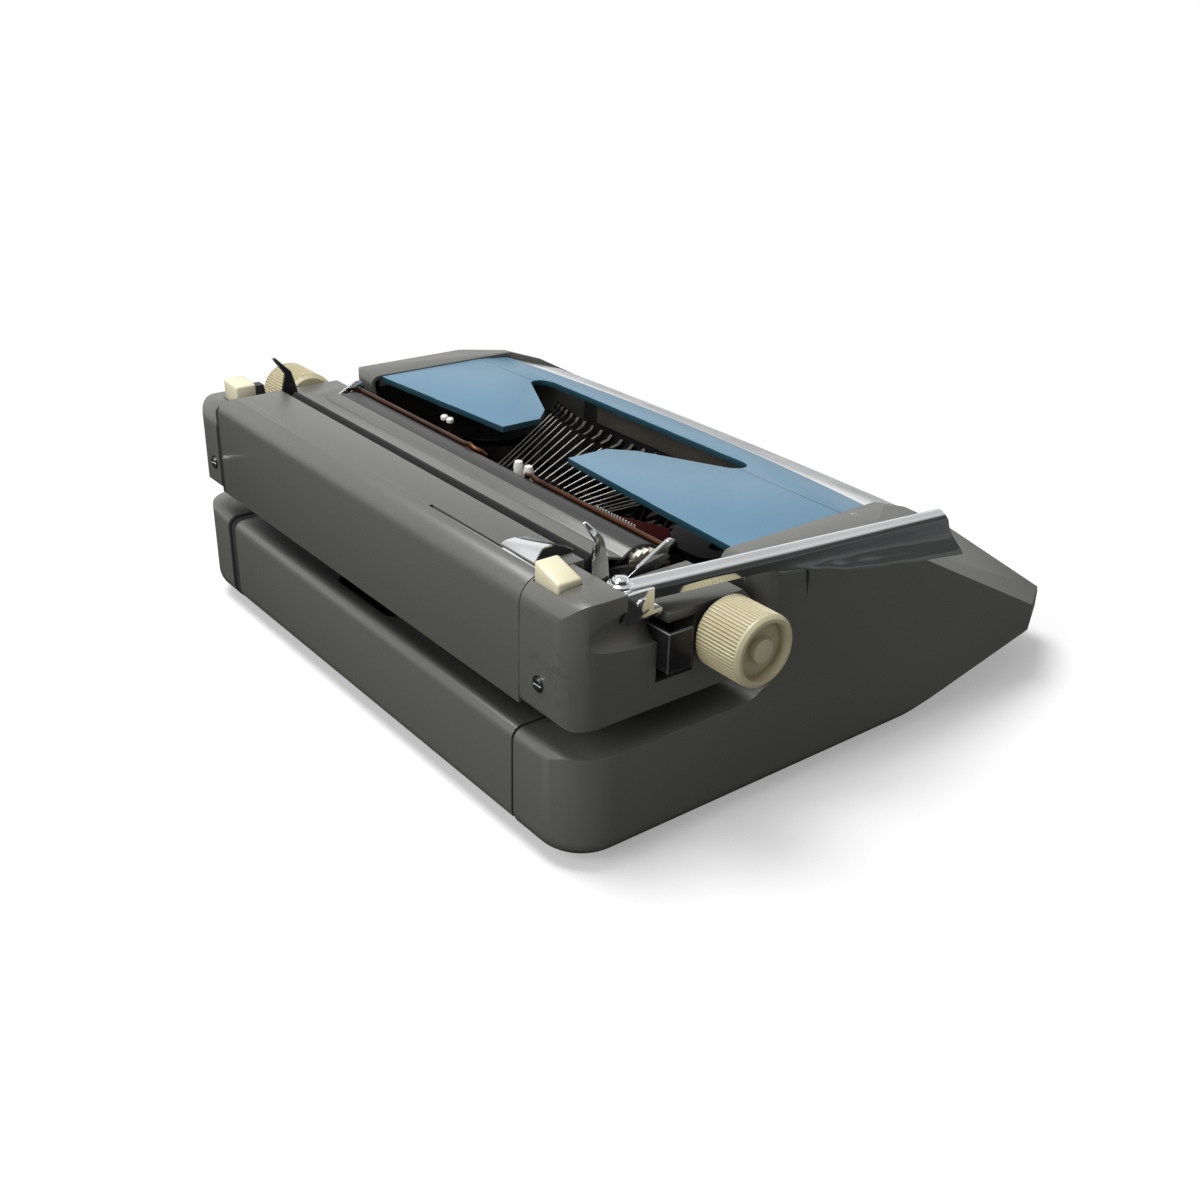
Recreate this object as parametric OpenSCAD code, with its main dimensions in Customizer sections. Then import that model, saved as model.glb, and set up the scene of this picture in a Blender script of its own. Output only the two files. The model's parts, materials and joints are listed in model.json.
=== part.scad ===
// Portable typewriter: X runs to the typist's right, Y to the rear, Z up, with the table at z = 0.

/* [Casing] */
// Width over the two side shells
body_w = 320; // [310:1:340]
// Depth from the rear panel to the front apron
body_d = 310; // [300:1:330]
// Height of the ledge that the carriage runs over
ledge_h = 50; // [48:0.5:52]
// Height of the deck in front of the carriage
deck_h = 105; // [102:0.5:107]
// Height of the base pan's top above the table
floor_h = 8; // [7.5:0.25:9]
// Wall of the casing shells
shell_t = 2.2; // [1.6:0.1:3]
// Plan radius of the rear corners
rear_r = 21; // [14:0.5:26]
// Radius that tucks the sides under
tuck_r = 10; // [8:0.5:14]
// Small rounding of the shell edges
edge_r = 5; // [4:0.25:7]
// Rounding of the deck's outer edges
deck_r = 7; // [4:0.5:9]
// Plan radius of the upright walls' outer corners
wall_r = 16; // [10:0.5:18]
// Radius between the ledge and the upright wall
wall_foot_r = 14; // [8:0.5:15]
// Distance of the rear seams from the sides
seam_in = 36.5; // [34:0.5:40]
// Width of the seam grooves
seam_gap = 1.4; // [0.8:0.1:2]
// Width of the deck borders beside the ribbon cover
border_w = 25; // [23:0.5:27]
// Distance of the upright wall's foot from the rear
wall_in = 98; // [97:0.5:100]
// How far the upright wall leans to the rear
wall_lean = 8.5; // [5:0.5:9]
// Height of the front apron
nose_h = 28; // [24:0.5:31]
// Height of the rubber feet under the base pan
foot_h = 6.3; // [5.5:0.1:6.5]
// Radius of the rubber feet
foot_r = 10; // [7:0.5:13]

/* [Ribbon cover] */
// Thickness of the ribbon cover's edge
cover_t = 3; // [2.6:0.1:3.4]
// Gap between the cover and the deck borders
cover_gap = 0.6; // [0.4:0.1:1]
// How far the cover's front edge bows forward
front_bow = 9; // [4:0.5:12]
// Middle of the window and of the printing line
print_x = 7; // [0:0.5:9]
// Half width of the window's throat
throat_half = 26; // [24:0.5:30]
// Half width of the window's slot
slot_half = 79; // [72:0.5:84]
// Width of the bright trim strip in front of the cover
trim_w = 35; // [30:0.5:38]

/* [Carriage] */
// Height of the carriage's lower edge
carriage_h = 63.5; // [62:0.5:66]
// Height of the carriage's top
carriage_top = 113.5; // [111:0.5:116]
// Half length of the carriage cover
cover_half = 127; // [126.5:0.5:128]
// Half length over the end caps
cap_half = 159; // [156:0.5:161]
// How much shorter the right end cap is than the left one
right_in = 6; // [5:0.5:9]
// How far the carriage cover rolls down at its right end
end_drop = 8.5; // [7.5:0.5:10]
// Radius of that roll
end_r = 20; // [16:0.5:24]
// Rounding of the carriage cover's rear edge
cover_r = 10; // [6:0.5:12]
// Plan radius of the end caps
cap_r = 12; // [8:0.5:14]
// Height of the end caps' lower front part
cap_step_h = 100.5; // [98:0.5:102]
// Thickness of carriage sheet metal
sheet_t = 2; // [1.6:0.1:2.4]
// Carriage travel to each side
travel = 98; // [80:1:100]

/* [Platen] */
// Radius of the platen
platen_r = 16; // [15:0.25:16.5]
// Length of the platen
platen_len = 230; // [220:1:231]
// Height of the platen's axis
platen_z = 90; // [88.5:0.5:91]
// Distance of the platen's axis from the rear
platen_in = 65.5; // [64:0.5:66.5]
// Radius of the platen shaft
shaft_r = 4; // [3:0.25:5]
// Radius of the knobs
knob_r = 14.5; // [13:0.25:15]
// Length of the knobs
knob_w = 23.5; // [18:0.5:26]
// Number of ribs round a knob
knob_ribs = 64; // [40:4:80]

/* [Return lever] */
// Length from the lever's pivot to its tip
lever_len = 131; // [115:1:132]
// Angle of the lever from straight ahead
lever_swing = 17.5; // [14:0.5:18]
// Radius of the lever's pivot pin
lever_pin_r = 3; // [2.5:0.25:3.5]

/* [Keyboard] */
// Pitch of the keys along a row
key_pitch = 19.05; // [18.5:0.05:19.3]
// Pitch of the rows
row_pitch = 18.5; // [17.5:0.1:18.8]
// Size of a key top
key_size = 13.4; // [12:0.1:14.5]
// Rise of each row above the one in front
row_rise = 11.2; // [9:0.1:11.5]
// Height of the front row's key tops
key_h = 43.5; // [42:0.5:45]
// Thickness of a key lever
key_lever_t = 1.6; // [1.2:0.1:2]
// Depth of a key lever
key_lever_h = 6; // [5:0.25:6.5]
// Radius of the rod that the key levers turn on
fulcrum_r = 2.5; // [2:0.1:2.8]

/* [Type basket] */
// Number of type bars
bar_count = 43; // [31:2:45]
// Length of a type bar from its pivot to the type
bar_len = 54; // [52:0.5:55]
// Angle of the fan of type bars
fan_angle = 122; // [110:1:124]
// Thickness of a type bar
bar_t = 0.9; // [0.7:0.05:1]
// Radius of the wire that the type bars turn on
wire_r = 1; // [0.8:0.05:1.1]
// Drop of the basket when the shift keys are pressed
shift_drop = 6; // [4:0.25:6]
// Radius of the ribbon spools
spool_r = 24; // [20:0.5:24.5]

/* [Fits] */
// Radial clearance of pins and shafts in their bores
run_gap = 0.05; // [0.02:0.01:0.08]
// Gap between pieces that rest on each other
seat_gap = 0.3; // [0.2:0.05:0.4]

/* [Hidden] */
$fn = 48;
half_w = body_w / 2;
rear_y = body_d / 2;
front_y = -body_d / 2;
seam_x = half_w - seam_in;
deck_x = half_w - border_w;
wall_y = rear_y - wall_in;
wall_top_y = wall_y + wall_lean;
deck_y = wall_y - 80;
trim_y = deck_y - 36;
trim_h = deck_h - 12;
nose_cut_x = 22;
nose_cut_y = 38;
reach = 500;
trim_over = 0.05;
lip_gap = 0.1;
skirt_h = foot_h - shell_t - lip_gap;
pan_rear_y = rear_y - tuck_r - 1;
pan_front_y = front_y + 37;
cover_top = deck_h - 0.5;
cover_x = deck_x - cover_gap;
cover_rear_y = wall_top_y - 6.5;
crease_y = wall_y - 60;
crease_drop = 3;
hinge_y = cover_rear_y - 3;
hinge_r = 1.2;
hinge_z = cover_top - cover_t / 2;
bow_r = (pow(deck_x, 2) + pow(front_bow, 2)) / (2 * front_bow);
cover_front_y = deck_y + 2;
platen_y = rear_y - platen_in;
platen_half = platen_len / 2;
plate_x = platen_half + 4;
bed_z = 56.3;
bed_t = 2.5;
bed_front_y = platen_y - 3.5;
plate_w = 2;
arm_t = 1.5;
arm_x = plate_x + plate_w + 0.3;
finger_x = arm_x + arm_t + 0.7;
cap_gap = 0.5;
cap_x = max(cover_half, finger_x + arm_t) + cap_gap;
cap_tall_y = rear_y - 23.5;
right_top = carriage_top - end_drop;
end_run = sqrt(pow(end_r, 2) - pow(end_r - end_drop, 2));
cap_front_y = wall_top_y + 2.5;
knob_x = cap_half + 4;
right_knob_w = knob_w + right_in - 1.5;
lever_x = 11 - cap_half;
lever_y = cap_tall_y - 5.5;
lever_low_z = 103.6;
lever_rise = 14.2;
rail_y = rear_y - 38;
rail_w = 10;
side_plate_x = half_w - 42;
side_plate_low = 44;
side_plate_high = 66;
fulcrum_y = rear_y - 55;
fulcrum_z = floor_h + 6;
lever_slope = 0.06;
row_count = 4;
row_keys = [10, 11, 11, 11];
row_shift = [0.125, 0.125, -0.125, -0.625];
first_row_y = front_y + 26;
active_row = 1;
active_key_index = 5;
cap_t = 6;
comb_y = front_y + 118;
shift_x = side_plate_x - 6;
backspace_x = row_x(3, 11);
bar_pitch = fan_angle / (bar_count - 1);
strike_y = platen_y - platen_r;
pivot_y = strike_y - 7;
slug_h = 6.6;
pivot_z = platen_z - bar_len;
segment_t = 6.4;
segment_y = pivot_y - 4.5;
segment_in = 6.5;
segment_out = 6.5;
rest_y = pivot_y - bar_len + 1;
cup_r = spool_r + 2.5;
cup_x = side_plate_x - 0.5 - cup_r;
cup_y = wall_y - 37;
cup_z = side_plate_high;
ribbon_z = cup_z + 5;
ribbon_w = 12;
ribbon_t = 0.4;
post_x = 64;
post_y = wall_y - 1;
bar_rear_y = segment_y + segment_t + seat_gap;
vibrator_z = 50;
vibrator_half = 8.5;
vibrator_t = 1.2;
drum_r = 16;
drum_x = -88;
drum_y = rear_y - 28;
drum_z = 30;

// Points of a round stretch, with its end points
function arc(c, r, a0, a1, n = 8) =
    [for (k = [0:n]) c + r * [cos(a0 + (a1 - a0) * k / n), sin(a0 + (a1 - a0) * k / n)]];

// Middle of a key along its row
function row_x(row, k) = (k - (row_keys[row] - 1) / 2 + row_shift[row]) * key_pitch;
function row_y(row) = first_row_y + row * row_pitch;
function row_z(row) = key_h + row * row_rise;

// Flat outlines drawn in Y and Z, X and Z or X and Y, and given a thickness
module along_x(x0, x1) translate([x0, 0, 0]) rotate([90, 0, 90]) linear_extrude(x1 - x0) children();
module along_y(y0, y1) translate([0, y1, 0]) rotate([90, 0, 0]) linear_extrude(y1 - y0) children();
module along_z(z0, z1) translate([0, 0, z0]) linear_extrude(z1 - z0) children();
module slab(x0, x1, y0, y1, z0, z1) translate([x0, y0, z0]) cube([x1 - x0, y1 - y0, z1 - z0]);
module rod_x(x0, x1, y, z, r) translate([x0, y, z]) rotate([0, 90, 0]) cylinder(r = r, h = x1 - x0);
module rod_y(x, y0, y1, z, r) translate([x, y1, z]) rotate([90, 0, 0]) cylinder(r = r, h = y1 - y0);
module rod_z(x, y, z0, z1, r) translate([x, y, z0]) cylinder(r = r, h = z1 - z0);
module left_hand() mirror([1, 0, 0]) children();

// Everything on the side of a plane that its normal points to
module half_space(p, n) translate(p)
    rotate([0, acos(n.z / norm(n)), atan2(n.y, n.x)])
    translate([-reach, -reach, 0]) cube([2 * reach, 2 * reach, reach]);

// Casing form, drawn in by i all round
function side_profile(i) = concat(
    arc([rear_y - tuck_r, skirt_h + tuck_r], tuck_r - i, 270, 360),
    arc([rear_y - edge_r, ledge_h - edge_r], edge_r - i, 0, 90, 5),
    arc([wall_y + wall_foot_r, ledge_h + wall_foot_r], wall_foot_r + i, 270, 180, 6),
    arc([wall_top_y - edge_r, deck_h - edge_r], edge_r - i, 0, 90, 5),
    [[deck_y, deck_h - i], [trim_y, trim_h - i], [front_y + i, nose_h - i]],
    arc([front_y + edge_r, skirt_h + edge_r], edge_r - i, 180, 270, 5)
);
function plan_outline(i) = concat(
    [[half_w - i, rear_y - i], [i - half_w, rear_y - i]],
    [[i - half_w, front_y + nose_cut_y], [nose_cut_x - half_w + i / 2, front_y + i]],
    [[half_w - nose_cut_x - i / 2, front_y + i], [half_w - i, front_y + nose_cut_y]]
);
function section_outline(i) = concat(
    arc([half_w - tuck_r, skirt_h + tuck_r], tuck_r - i, 270, 360),
    arc([half_w - deck_r, deck_h - deck_r + trim_over], deck_r - i, 0, 90, 6),
    [[half_w - deck_r - 1, deck_h + 1], [deck_r + 1 - half_w, deck_h + 1]],
    arc([deck_r - half_w, deck_h - deck_r + trim_over], deck_r - i, 90, 180, 6),
    arc([tuck_r - half_w, skirt_h + tuck_r], tuck_r - i, 180, 270)
);

// Tilted facets of the cheeks beside the keyboard: one faces up and out, the other down and out
cheek_a = [half_w, wall_y - 105, deck_h - 28.6];
cheek_b = [half_w, front_y + nose_cut_y, nose_h + 12];
cheek_c = [half_w - nose_cut_x, wall_y - 142, deck_h - 31];
cheek_n = cross(cheek_c - cheek_a, cheek_b - cheek_a);
chin_a = [half_w, wall_y - 67, skirt_h];
chin_b = [half_w, front_y + nose_cut_y + 4, nose_h - 2];
chin_c = [half_w - 32, front_y + nose_cut_y + 4, skirt_h];
chin_n = cross(chin_b - chin_a, chin_c - chin_a);

module facet_cuts(i) {
    half_space(cheek_a - i * cheek_n / norm(cheek_n), cheek_n);
    half_space(chin_a - i * chin_n / norm(chin_n), chin_n);
}
module body_form(i) difference() {
    intersection() {
        along_x(-half_w, half_w) polygon(side_profile(i));
        along_z(0, deck_h + 1) polygon(plan_outline(i));
        along_y(front_y, rear_y) polygon(section_outline(i));
    }
    facet_cuts(i);
    left_hand() facet_cuts(i);
}

// What the upright wall's outer corner loses: the rounding opens out from the ledge to the deck
module wall_corner(i) let(
    low = [half_w - 0.7 * wall_r, wall_y - 0.7 * wall_r, ledge_h],
    run = [half_w - wall_r, wall_top_y - wall_r, deck_h] - low
) difference() {
    slab(half_w - wall_r, half_w + 1, wall_y - wall_r, wall_top_y + wall_r, ledge_h + 4, deck_h + 2);
    translate(low) rotate([0, acos(run.z / norm(run)), atan2(run.y, run.x)])
        translate([0, 0, -wall_r]) cylinder(r = wall_r - i, h = norm(run) + 2 * wall_r, $fn = 96);
}
// What the rear corner loses: the rounding and the tuck are turned about one upright axis
module rear_corner(i) difference() {
    slab(half_w - rear_r, half_w + 1, rear_y - rear_r, rear_y + 1, 0, ledge_h + 1);
    translate([half_w - rear_r, rear_y - rear_r, 0]) rotate_extrude($fn = 96) polygon(concat(
        [[0, skirt_h + i]],
        arc([rear_r - tuck_r, skirt_h + tuck_r], tuck_r - i, 270, 360),
        [[rear_r - i, ledge_h + 2], [0, ledge_h + 2]]));
}
module shell_form(i) difference() {
    body_form(i);
    wall_corner(i);
    rear_corner(i);
}

// Right side shell: rear corner, ledge, upright wall, deck border and cheek in one skin
module shell_zone() {
    slab(deck_x, half_w, front_y, rear_y, 0, deck_h + 1);
    slab(seam_x, half_w, wall_y, rear_y, 0, ledge_h);
}
module shell_hollow() {
    slab(deck_x + shell_t, half_w, front_y, deck_y, 0, deck_h);
    slab(deck_x - 1, half_w, deck_y, rear_y, 0, deck_h);
    slab(seam_x - 1, half_w, wall_y - shell_t, rear_y, 0, ledge_h);
}
module hinge_boss(grow) slab(deck_x, deck_x + 4, hinge_y - 4, hinge_y + 4, hinge_z - 4,
    deck_h - shell_t + grow);
module side_shell() difference() {
    union() {
        difference() {
            intersection() {
                shell_form(0);
                shell_zone();
            }
            intersection() {
                shell_form(shell_t);
                shell_hollow();
            }
            slab(0, deck_x, front_y, pan_rear_y - 6, 0, floor_h + shell_t + 1);
            // Slit that lets the base pan pass under the inner wall
            slab(deck_x - 1, deck_x + shell_t + 0.5, pan_front_y, deck_y + 1, foot_h - lip_gap / 2,
                floor_h + seat_gap);
        }
        // Lip that the ribbon cover rests on, and the boss of its hinge
        slab(deck_x, deck_x + shell_t, crease_y, hinge_y - 3, cover_top - cover_t - 2.5,
            deck_h - shell_t + 0.5);
        slab(deck_x - 4, deck_x + shell_t, crease_y, hinge_y - 6, cover_top - cover_t - 2.5,
            cover_top - cover_t - seat_gap);
        hinge_boss(0.5);
    }
    rod_x(deck_x - 1, deck_x + 3, hinge_y, hinge_z, hinge_r + run_gap);
}
module right_side_shell() color("dimgray") side_shell();
module left_side_shell() color("dimgray") left_hand() side_shell();

// Rear panel: a skin between the seams, with flanges behind them and a notch in its top flange
panel_x = seam_x - seam_gap;
flange_y = rear_y - 27;
notch_half = 26.5;
panel_low = floor_h + 1.5;
notch_r = 8;
module rear_panel() color("dimgray") {
    difference() {
        intersection() {
            body_form(0);
            slab(-panel_x, panel_x, flange_y, rear_y, panel_low, ledge_h);
        }
        body_form(shell_t);
        along_z(ledge_h - shell_t - 1, ledge_h + 1) translate([print_x, 0]) {
            for (s = [-1, 1]) translate([s * (notch_half - notch_r), rear_y - 9 - notch_r]) circle(notch_r);
            translate([notch_r - notch_half, flange_y - 1]) square([2 * (notch_half - notch_r), 19]);
            translate([-notch_half, flange_y - 1]) square([2 * notch_half, rear_y - 8 - notch_r - flange_y]);
        }
    }
    for (s = [0, 1]) mirror([s, 0, 0]) intersection() {
        body_form(shell_t + 0.3);
        difference() {
            slab(panel_x - 4, seam_x + 5, rear_y - 12, rear_y, floor_h + 6, ledge_h - 8);
            body_form(shell_t + 1.8);
        }
    }
    for (s = [0, 1]) mirror([s, 0, 0])
        slab(panel_x - 4, panel_x, rear_y - shell_t - 1, rear_y - 0.6, floor_h + tuck_r, ledge_h - 8);
}

// Bottom
pan_wide = half_w - tuck_r - 1;
pan_r = max(1, rear_r - tuck_r - 1);
pan_nose_x = deck_x - 10;
pan_cheek_y = chin_a.y - 20;
module base_pan() color("dimgray") difference() {
    union() {
        along_z(foot_h, floor_h) polygon(concat(
            arc([pan_wide - pan_r, pan_rear_y - pan_r], pan_r, 0, 90),
            arc([pan_r - pan_wide, pan_rear_y - pan_r], pan_r, 90, 180),
            [[-pan_wide, pan_cheek_y], [-pan_nose_x, pan_front_y]],
            [[pan_nose_x, pan_front_y], [pan_wide, pan_cheek_y]]));
        along_z(foot_h, floor_h) translate([3 - seam_x, 0]) square([2 * seam_x - 6, rear_y - 6]);
        // Pressed stiffening beads
        for (x = [-60, -20, 20, 60]) along_x(x - 4, x + 4)
            polygon([[-30, floor_h], [-27, floor_h + 1.2], [58, floor_h + 1.2], [61, floor_h]]);
    }
    // Vent slots
    for (x = [-40, 0, 40], y = [-20, 15, 50]) slab(x - 10, x + 10, y - 2, y + 2, 0, floor_h + 2);
}
foot_x = deck_x - 31;
foot_front_y = pan_front_y + 22;
foot_rear_y = pan_rear_y - 27;
module rubber_feet() color("black")
    for (x = [-foot_x, foot_x], y = [foot_front_y, foot_rear_y]) translate([x, y, 0])
        rotate_extrude() polygon([[0, 0], [foot_r - 1.5, 0], [foot_r, 1.5], [foot_r - 1, foot_h], [0, foot_h]]);

// Front
apron_t = 3.5;
module front_apron() color("dimgray") difference() {
    intersection() {
        body_form(0);
        slab(-deck_x + 0.3, deck_x - 0.3, front_y, pan_front_y + 10, skirt_h, nose_h);
    }
    intersection() {
        body_form(shell_t);
        slab(-deck_x, deck_x, front_y + apron_t, 0, 0, deck_h);
    }
    slab(-deck_x, deck_x, front_y + apron_t, 0, nose_h - 6, deck_h);
}
module bow_disc(y) translate([0, y + bow_r - front_bow]) circle(bow_r, $fn = 360);
trim_t = 1.5;
trim_slope = 18;
trim_gap = 0.8;
trim_top = cover_top - 2;
module bow_band(y0, y1) difference() {
    bow_disc(y0);
    bow_disc(y1);
}
module front_trim() color("gainsboro") let(
    y0 = cover_front_y + 1,
    y1 = cover_front_y - trim_gap - trim_w,
    fall = tan(trim_slope),
    low = trim_top - fall * (y0 - y1 + front_bow)
) {
    intersection() {
        along_x(-deck_x + 0.3, deck_x - 0.3) polygon([[y0, trim_top], [y1 - front_bow, low],
            [y1 - front_bow, low - trim_t], [y0, trim_top - trim_t]]);
        along_z(0, deck_h) bow_band(y1, cover_front_y - trim_gap);
    }
    // Front edge folded down
    intersection() {
        along_x(-deck_x + 0.3, deck_x - 0.3) polygon([[y0, trim_top - 0.4], [y1 - front_bow, low - 0.4],
            [y1 - front_bow, low - 9], [y0, low - 9]]);
        along_z(0, deck_h) bow_band(y1, y1 + trim_t);
    }
}

// Ribbon cover with its winged window
tip_r = 7;
window_front_y = crease_y - 10;
slot_rear_y = crease_y + 3;
wing_y = wall_y - 37;
module window_outline() translate([print_x, 0])
    polygon(concat(
        arc([slot_half - tip_r, window_front_y + tip_r], tip_r, 270, 430, 8),
        [[throat_half + 10, wing_y], [throat_half, wing_y + 10], [throat_half, wall_top_y]],
        [[-throat_half, wall_top_y], [-throat_half, wing_y + 10], [-throat_half - 10, wing_y]],
        arc([tip_r - slot_half, window_front_y + tip_r], tip_r, 110, 270, 8)
    ));
module cover_outline() difference() {
    intersection() {
        translate([-cover_x, front_y]) square([2 * cover_x, body_d]);
        bow_disc(cover_front_y);
        polygon([[-cover_x, front_y], [cover_x, front_y], [cover_x, cover_rear_y],
            [print_x + throat_half, cover_rear_y - 7], [print_x - throat_half, cover_rear_y - 7],
                [-cover_x, cover_rear_y]]);
    }
    window_outline();
}
module ribbon_cover() color("lightsteelblue") {
    intersection() {
        along_x(-cover_x, cover_x) polygon([
            [cover_rear_y, cover_top - cover_t], [cover_rear_y, cover_top], [crease_y, cover_top],
            [cover_front_y - front_bow - 1, cover_top - crease_drop],
            [cover_front_y - front_bow - 1, cover_top - crease_drop - cover_t],
                [crease_y, cover_top - cover_t]]);
        along_z(0, deck_h) cover_outline();
    }
    for (s = [0, 1]) mirror([s, 0, 0]) rod_x(cover_x - 1, deck_x + 2.5, hinge_y, hinge_z, hinge_r);
}

// Inner frame
module side_plate() along_x(side_plate_x, side_plate_x + 2) difference() {
    polygon([[front_y + 95, floor_h], [drum_y - 3, floor_h], [drum_y + 14, floor_h + 17],
        [drum_y + 14, side_plate_low], [platen_y - 10, side_plate_low],
        [cap_front_y - 2, side_plate_high], [cup_y - 20, side_plate_high], [comb_y - 6, floor_h + 30],
            [front_y + 95, floor_h + 24]]);
    translate([fulcrum_y, fulcrum_z]) circle(fulcrum_r + run_gap);
    translate([cup_y, 40]) circle(14);
    translate([comb_y + 36, 26]) circle(9);
}
module right_side_plate() color("silver") side_plate();
module left_side_plate() color("silver") left_hand() side_plate();
bar_mid_z = side_plate_low - 4;
drum_pin_r = 3;
module cross_bars() color("silver") {
    slab(-side_plate_x, side_plate_x, bar_rear_y, bar_rear_y + 6, bar_mid_z - 6, bar_mid_z + 4);
    slab(-side_plate_x, side_plate_x, drum_y + 11, drum_y + 14, floor_h + 16, side_plate_low - 2);
    rod_y(drum_x, drum_y - 1, drum_y + 11, drum_z, drum_pin_r);
}
module carriage_rail() color("silver") along_x(-side_plate_x - 3, side_plate_x + 3) difference() {
    translate([rail_y - rail_w / 2, side_plate_low]) square([rail_w, bed_z - seat_gap - side_plate_low]);
    for (s = [-1, 1]) translate([rail_y + s * rail_w / 2, bed_z - 6]) circle(2.2);
}
module key_fulcrum_rod() color("silver")
    rod_x(-side_plate_x - 2, side_plate_x + 2, fulcrum_y, fulcrum_z, fulcrum_r);

// Key levers and key tops
function lever_mid(y) = fulcrum_z + lever_slope * (fulcrum_y - y);
module lever_outline(y, z) let(turn = min(comb_y - 8, y + 50), h = key_lever_h / 2) difference() {
    union() {
        polygon([[fulcrum_y, fulcrum_z - h], [fulcrum_y, fulcrum_z + h], [turn, lever_mid(turn) + h],
            [y + 2.5, z], [y - 2.5, z], [y - 2.5, z - 4], [turn, lever_mid(turn) - h]]);
        translate([fulcrum_y, fulcrum_z]) circle(h + 1.5);
    }
    translate([fulcrum_y, fulcrum_z]) circle(fulcrum_r + run_gap);
}
module key_lever(x, y, z) along_x(x - key_lever_t / 2, x + key_lever_t / 2) lever_outline(y, z);
module key_top(x, y, z, w = key_size) let(d = key_size, r = 34) difference() {
    union() {
        slab(x - w / 2, x + w / 2, y - d / 2, y + d / 2, z - cap_t, z - 2.4);
        slab(x - w / 2 + 1, x + w / 2 - 1, y - d / 2 + 1, y + d / 2 - 1, z - cap_t, z);
    }
    rod_x(x - w, x + w, y, z + r - 1.2, r);
}
module key_unit(x, row, w = key_size) {
    key_lever(x, row_y(row), row_z(row) - cap_t);
    key_top(x, row_y(row), row_z(row), w);
}
module key_row(row) for (k = [0:row_keys[row] - 1])
    if (row != active_row || k != active_key_index) key_unit(row_x(row, k), row);
module lower_row() color("beige") key_row(0);
module home_row() color("beige") key_row(1);
module upper_row() color("beige") key_row(2);
module digit_row() color("beige") key_row(3);
active_x = row_x(active_row, active_key_index);
module active_key() color("beige") key_unit(active_x, active_row);
module backspace_key() color("beige") key_unit(backspace_x, 3);
shift_w = 23;
shift_shaft_y = fulcrum_y + 10;
module shift_keys() color("beige") {
    for (s = [-1, 1]) {
        key_lever(s * shift_x, row_y(0), row_z(0) - cap_t);
        along_x(s * shift_x - key_lever_t / 2, s * shift_x + key_lever_t / 2)
            translate([fulcrum_y + fulcrum_r + 1, fulcrum_z - 2.5]) square([shift_shaft_y - fulcrum_y, 5]);
        key_top(s * (shift_x + 3) + 3, row_y(0), row_z(0), shift_w);
    }
    // Cross shaft that ties the two shift levers together
    rod_x(-shift_x, shift_x, shift_shaft_y, fulcrum_z, 2);
}
space_half = 58;
space_y = front_y + 9;
space_d = 9;
space_z = key_h - 8;
space_lever_x = 10 * key_pitch / 4;
space_dip_z = floor_h + 9;
space_dip_y = row_y(0) + key_size;
module space_lever_outline() let(h = key_lever_h / 2) difference() {
    union() {
        polygon([[fulcrum_y, fulcrum_z - h], [fulcrum_y, fulcrum_z + h], [comb_y, lever_mid(comb_y) + h],
            [space_dip_y, space_dip_z + key_lever_h], [space_y + 7, space_dip_z + key_lever_h],
                [space_y + 2.5, space_z - cap_t],
            [space_y - 2.5, space_z - cap_t], [space_y + 2.5, space_dip_z], [space_dip_y, space_dip_z],
            [comb_y, lever_mid(comb_y) - h]]);
        translate([fulcrum_y, fulcrum_z]) circle(h + 1.5);
    }
    translate([fulcrum_y, fulcrum_z]) circle(fulcrum_r + run_gap);
}
module space_bar() color("beige") {
    for (s = [-1, 1]) along_x(s * space_lever_x - key_lever_t / 2, s * space_lever_x + key_lever_t / 2)
        space_lever_outline();
    difference() {
        slab(-space_half, space_half, space_y - space_d / 2, space_y + space_d / 2, space_z - cap_t, space_z);
        rod_x(-space_half - 1, space_half + 1, space_y + space_d / 2 + 20, space_z + 20.5, 24);
    }
}
comb_slot = key_lever_t + 0.8;
comb_x = [for (row = [0:row_count - 1], k = [0:row_keys[row] - 1]) row_x(row, k)];
module key_comb() color("silver") along_y(comb_y, comb_y + 2) difference() {
    translate([-side_plate_x, floor_h]) square([2 * side_plate_x, 27]);
    for (x = concat(comb_x, [-shift_x, shift_x, backspace_x, -space_lever_x, space_lever_x]))
        translate([x - comb_slot / 2, floor_h + 1.5]) square([comb_slot, 40]);
}

// Type basket: a slotted segment, its bars on one wire, and the rest that they lie on
module fan(a) translate([print_x, 0, platen_z]) rotate([0, a, 0]) children();
module ring_sector(r0, r1, y0, y1, a) translate([print_x, y1, platen_z])
    rotate([90, 0, 0]) rotate([0, 0, 270 - a]) rotate_extrude(angle = 2 * a, $fn = 180)
    translate([r0, 0]) square([r1 - r0, y1 - y0]);
fan_half = fan_angle / 2;
module type_segment() color("silver") {
    difference() {
        ring_sector(bar_len - segment_in, bar_len + segment_out, segment_y, segment_y + segment_t,
            fan_half + 4);
        for (k = [0:bar_count - 1]) fan(k * bar_pitch - fan_half)
            slab(-bar_t / 2 - 0.2, bar_t / 2 + 0.2, segment_y - 1, segment_y + segment_t + 1,
                -bar_len - 3.2, -bar_len + segment_in + 2);
    }
    translate([print_x, pivot_y, platen_z]) rotate([90, 0, 0]) rotate([0, 0, 270 - fan_half - 2])
        rotate_extrude(angle = fan_angle + 4, $fn = 180) translate([bar_len, 0]) circle(wire_r, $fn = 24);
}
bar_w = 3.4;
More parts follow.
